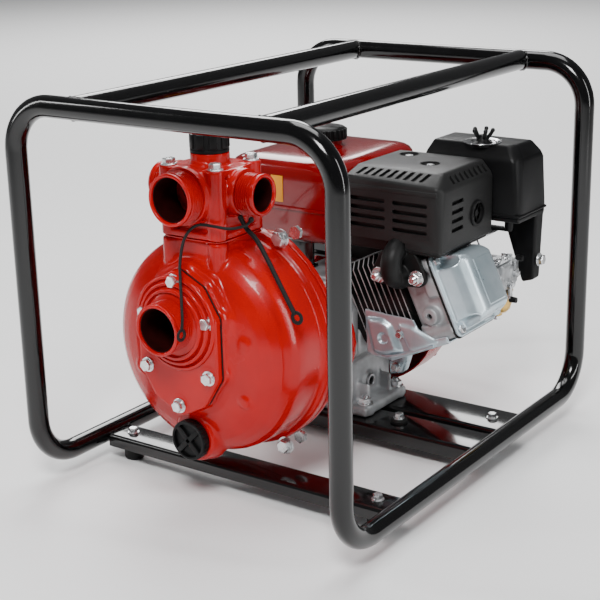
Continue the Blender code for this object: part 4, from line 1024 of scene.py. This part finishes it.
def make_carburettor():
    shapes = [cylinder("body", (146, 130, 208), (146, 205, 208), 16, 48),
        hull("flange", corners((124, 168), (129, 135), (196, 220)), 2),
        hull("rear_flange", corners((126, 168), (199, 205.5), (192, 224)), 2),
        hull("chamber", corners((133, 168), (164, 202), (186.2, 222)), 3),
        cylinder("jet_boss", (150, 168, 198), (166, 168, 206), 6, 24),
        cylinder("pivot_boss", (150, 190, 208), (170.5, 190, 208), 7.5, 32),
        cylinder("pivot_boss", (150, 175, 196), (170.5, 175, 196), 7, 32),
        cylinder("riser", (150, 150, 208), (150, 150, 236), 6, 24)]
    carburettor = cast("carburetor_body", shapes, (), 1.0, 2, 0.35)
    put(carburettor, "cast_aluminium", stands_for="carburetor", sharp=50)
    bowl = lathe("fuel_bowl_cup", [(0, 185.6), (20.4, 185.6), (20.8, 184.6), (20.4, 183), (19.4, 182.4),
        (19.2, 167), (17.5, 160), (13, 155.4), (8, 153.4), (7.4, 150.4), (5, 149), (0, 149)], (150, 183, 0),
        steps=96)
    put(bowl, "brass", stands_for="fuel_bowl")
    put(cylinder("bowl_bolt", (150, 183, 149.6), (150, 183, 144.5), 5.2, 6), "zinc")
    sideways = Matrix(((0, 0, 1, 0), (1, 0, 0, 0), (0, 1, 0, 0), (0, 0, 0, 1)))
    for body, y, z, sign in (("choke", 190, 208, 1), ("fuel_valve", 175, 196, -1)):
        name = f"{body}_lever"
        hub = cylinder("hub", (170.8, y, z), (175, y, z), 5.6, 32)
        outline = rounded([(y, z), (y + 2, z + sign * 20)] if sign > 0 else [(y + 2, z - 20), (y, z)], 3.6,
            8)
        arm = prism("arm", [outline], 171.2, 173.6, sideways)
        knob = cylinder("knob", (172.4, y + 2, z + sign * 20), (181, y + 2, z + sign * 20), 4.2, 24, 3.6)
        put(merged(f"{name}_body", [hub, arm]), "zinc", body, name)
        put(knob, "black_plastic", body)
        knob.name = f"{name}_knob"
        bolt((175, y, z), RIGHT, 4.0, body, washer=False)
    wire = tube("governor_rod", smooth_route([(124, 168, 259), (136, 160, 246), (152, 152, 240),
        (158, 150, 238)]), 1.1, 4)
    put(wire, "zinc")
    coil = []
    for k in range(120):
        a = tau * k / 10
        coil.append((161 + 4.0 * cos(a), 158 + 0.26 * k, 227 + 4.0 * sin(a)))
    put(tube("idle_spring", coil, 0.7, 3), "zinc")
    put(cylinder("idle_screw", (161, 150, 227), (161, 194, 227), 2.4, 24), "zinc")
    put(hull("idle_bracket", corners((153, 168), (186, 189), (214, 233)), 0.8), "zinc")
    stand = hull("stand", corners((96, 150), (151, 200), (262, 264.8)), 0.8)
    leg = hull("leg", corners((96, 98.6), (151, 200), (232, 264)), 0.8)
    put(merged("control_bracket_body", [stand, leg]), "zinc", stands_for="control_bracket")
    outline = rounded([(124, 176), (168, 176)], 4.2, 8)
    arm = prism("arm", [outline], 266, 268.6)
    hub = lathe("hub", [(0, 271), (6, 271), (7.5, 269.5), (7.5, 265.4), (0, 265.4)], (124, 176, 0), steps=48)
    knob = lathe("knob", [(0, 281), (3.4, 281), (5.4, 278.6), (5.4, 270), (4.4, 266.4), (0, 266.4)],
        (168, 176, 0), steps=40)
    put(merged("throttle_lever_body", [arm, hub, knob]), "black_plastic", "throttle", "throttle_lever")


PULL_TILT = radians(20)


def pull_direction():
    return Vector((-cos(PULL_TILT), 0, sin(PULL_TILT)))


def pull_place(distance, across=0.0, along_y=0.0):
    """A place along the line in which the starter's rope is pulled."""
    side = Vector((sin(PULL_TILT), 0, cos(PULL_TILT)))
    base = Vector(pump(238, SHAFT_Z)) + side * (40.3 + across)
    return tuple(base + pull_direction() * distance + Vector((0, along_y, 0)))


def make_starter():
    axis = pump(0, SHAFT_Z)
    shell = lathe("blower", [(60, 213.6), (94, 213.6), (100, 211.6), (103.6, 207), (104.8, 200),
        (104.8, 158.4), (102.6, 158.4), (102.6, 200), (99, 209), (92, 211), (60, 211)], axis, BACK, 144,
        True)
    put(shell, "pump_red", stands_for="blower_housing", sharp=40)
    dome = lathe("recoil", [(0, 261.6), (30, 261.4), (52, 260.4), (66, 257.6), (78, 252), (86, 244),
        (90, 234), (91.6, 222), (91.8, 214.6), (89.4, 214.6), (89.2, 222), (87.4, 233), (83.4, 242.4),
        (76, 249.8), (65, 255.2), (51, 258), (0, 259)], axis, BACK, 144)
    cutters = []
    for k in range(14):
        turn = at(axis, UP, tau * k / 14, "Y")
        for ys, plan in (((250, 275), ((26, -3.2), (26, 3.2), (60, -5.6), (60, 5.6))),
                ((222, 234), ((80, -7), (80, 7), (98, -7), (98, 7)))):
            cutters.append(hull("vent", [(x, y, z) for y in ys for x, z in plan], 1.5, 2, turn))
    cutters.append(cylinder("guide", pull_place(60), pull_place(110), 4.6, 32))
    put(cut(dome, cutters), "pump_red", stands_for="recoil_cover", sharp=40)
    along = pull_direction().to_track_quat("Z", "Y").to_matrix().to_4x4()
    put(lathe("rope_guide", [(2.6, -3), (6.4, -3), (6.4, 1), (5.4, 3), (3.2, 3)], pull_place(86), along, 48,
        True), "black_plastic")
    for degrees in (45, 135, 225, 315):
        a = radians(degrees)
        x, z = PUMP_X + 97.5 * cos(a), SHAFT_Z + 97.5 * sin(a)
        bolt((x, 212.6, z), BACK, 6.0)
    hood = hull("blower_throat", [(x, y, z) for x, z in ((10, 236), (86, 196), (70, 160), (20, 190))
        for y in (160, 210)], 6, 4)
    put(hood, "pump_red")
    strands = []
    for phase in range(3):
        twist = []
        for k in range(160):
            d = -8 + 112 * k / 159
            a = phase * tau / 3 + d * 0.9
            twist.append(pull_place(d, 0.95 * cos(a), 0.95 * sin(a)))
        strands.append(tube("strand", twist, 1.0, 3))
    put(merged("starter_rope", strands), "rubber", "grip")
    grip = tube("grip", smooth_route([pull_place(109, 0, -27), pull_place(106.4, 0, -16), pull_place(105.4),
        pull_place(106.4, 0, 16), pull_place(109, 0, 27)], 3), 7, 8)
    stem = cylinder("stem", pull_place(94), pull_place(105), 4.6, 32, 7)
    handle = cast("starter_grip_handle", [grip, stem], (), 0.9, 3, 0.4)
    put(handle, "black_plastic", "grip", "starter_grip", 60)
    body = hull("switch_box_body", corners((-145, -121), (178, 200), (196, 224)), 2.5)
    put(body, "black_plastic", stands_for="switch_box")
    arm = hull("switch_arm", corners((-124, -100), (184, 194), (196, 202)), 1.2)
    put(arm, "black_plastic")
    dial = lathe("dial", [(0, 148.6), (7.6, 148.6), (8.2, 148), (8.2, 145.4), (0, 145.4)], (0, 189, 210),
        LEFT)
    bar = hull("bar", corners((-153.8, -147), (187, 191), (203, 217)), 0.9)
    put(merged("engine_switch_knob", [dial, bar]), "tank_red", "switch", "engine_switch")


def make_small_parts():
    seat = (136, CYL_Y + 48.4, 172)
    steel = [lathe("shell", [(0, 0), (6.6, 0), (6.6, 9), (0, 9)], seat, BACK, 40),
        hexagon(10, 8, 19, at(seat, BACK))]
    put(merged("spark_plug_shell", steel), "zinc", stands_for="spark_plug")
    boot = lathe("spark_plug_boot", [(0, 34.4), (5, 34.4), (6.6, 33), (7.2, 24), (8.6, 21.4), (8.6, 18.6),
        (0, 18.6)], seat, BACK, 48)
    put(boot, "rubber")
    ridges = [(0, 14), (12.6, 14), (13.8, 12.8), (13.8, 4.4), (12, 0.4), (8.4, 0.4), (8.4, -12), (3, -12),
        (3, -34), (0, -34)]
    stick = lathe("stick", ridges, DIPSTICK, LEFT, 72)
    ribs = ribs_round(18, DIPSTICK, "Z", (12.6, -1.2, 4.8), (14, 1.2, 12.6), 0.5, LEFT)
    put(merged("oil_dipstick_body", [stick, *ribs]), "black_plastic", "dipstick", "oil_dipstick")


def channel(name, y0, y1, front_lip, back_lip):
    """A pressed channel with rounded folds and its end welds."""
    t, r, top = 3.0, 5.0, 33.0
    outer = [(y0, top - front_lip)] + [(y0 + r - r * cos(a), top - r + r * sin(a))
        for a in (0, 0.4, 0.8, 1.2, pi / 2)]
    outer += [(y1 - r + r * sin(a), top - r + r * cos(a)) for a in (0, 0.4, 0.8, 1.2, pi / 2)]
    outer += [(y1, top - back_lip), (y1 - t, top - back_lip)]
    q = r - t
    outer += [(y1 - t - q + q * cos(a), top - r + q * sin(a)) for a in (0, 0.8, pi / 2)]
    outer += [(y0 + t + q - q * sin(a), top - r + q * cos(a)) for a in (0, 0.8, pi / 2)]
    outer += [(y0 + t, top - front_lip)]
    along = Matrix.Rotation(radians(90), 4, "Z") @ FRONT
    body = prism(f"{name}_pressing", [outer], -203.1, 203.1, along)
    put(body, "frame_black", stands_for=name)
    for x in (-1, 1):
        route = []
        for k in range(40):
            y = y0 + 3 + (y1 - y0 - 6) * k / 39
            route.append((x * (205.4 + 0.3 * sin(k * 1.9)), y, 33.4 + 0.4 * sin(k * 2.3)))
        put(tube(f"{name}_weld_{'left' if x < 0 else 'right'}", route, 2.0, 4), "frame_black")


def make_base():
    channel("front_crossmember", -181, -138, 15, 15)
    channel("engine_crossmember_front", 20, 76, 19, 14)
    channel("engine_crossmember_rear", 88, 156, 14, 14)
    pad = lathe("base_buffer", [(0, 38), (9, 38), (11, 36), (11, 33.2), (0, 33.2)], (84, 48, 0), steps=48)
    put(pad, "rubber")
    bolt((84, 48, 38), UP, 6.5)


def dress_cad():
    """Gives every CAD node that still shows the finish of its own material slot."""
    for entry in frame["record"]["subparts"]:
        painted = frame["nodes"][entry["node"]].data.materials
        painted.clear()
        painted.append(FINISH["pump_red" if entry["node"] == "manifold_gasket" else entry["material_slot"]])


for build in (make_camera, make_studio, dress_cad, make_straps, make_cage, make_casing, make_suction_cover,
        make_manifold, make_priming_cap, make_drain_plug, make_adapter, make_base, make_block,
        make_crankcase_cover, make_head, make_valve_cover, make_shroud, make_exhaust, make_guard, make_tank,
        make_air_cleaner, make_carburettor, make_starter, make_small_parts):
    build()
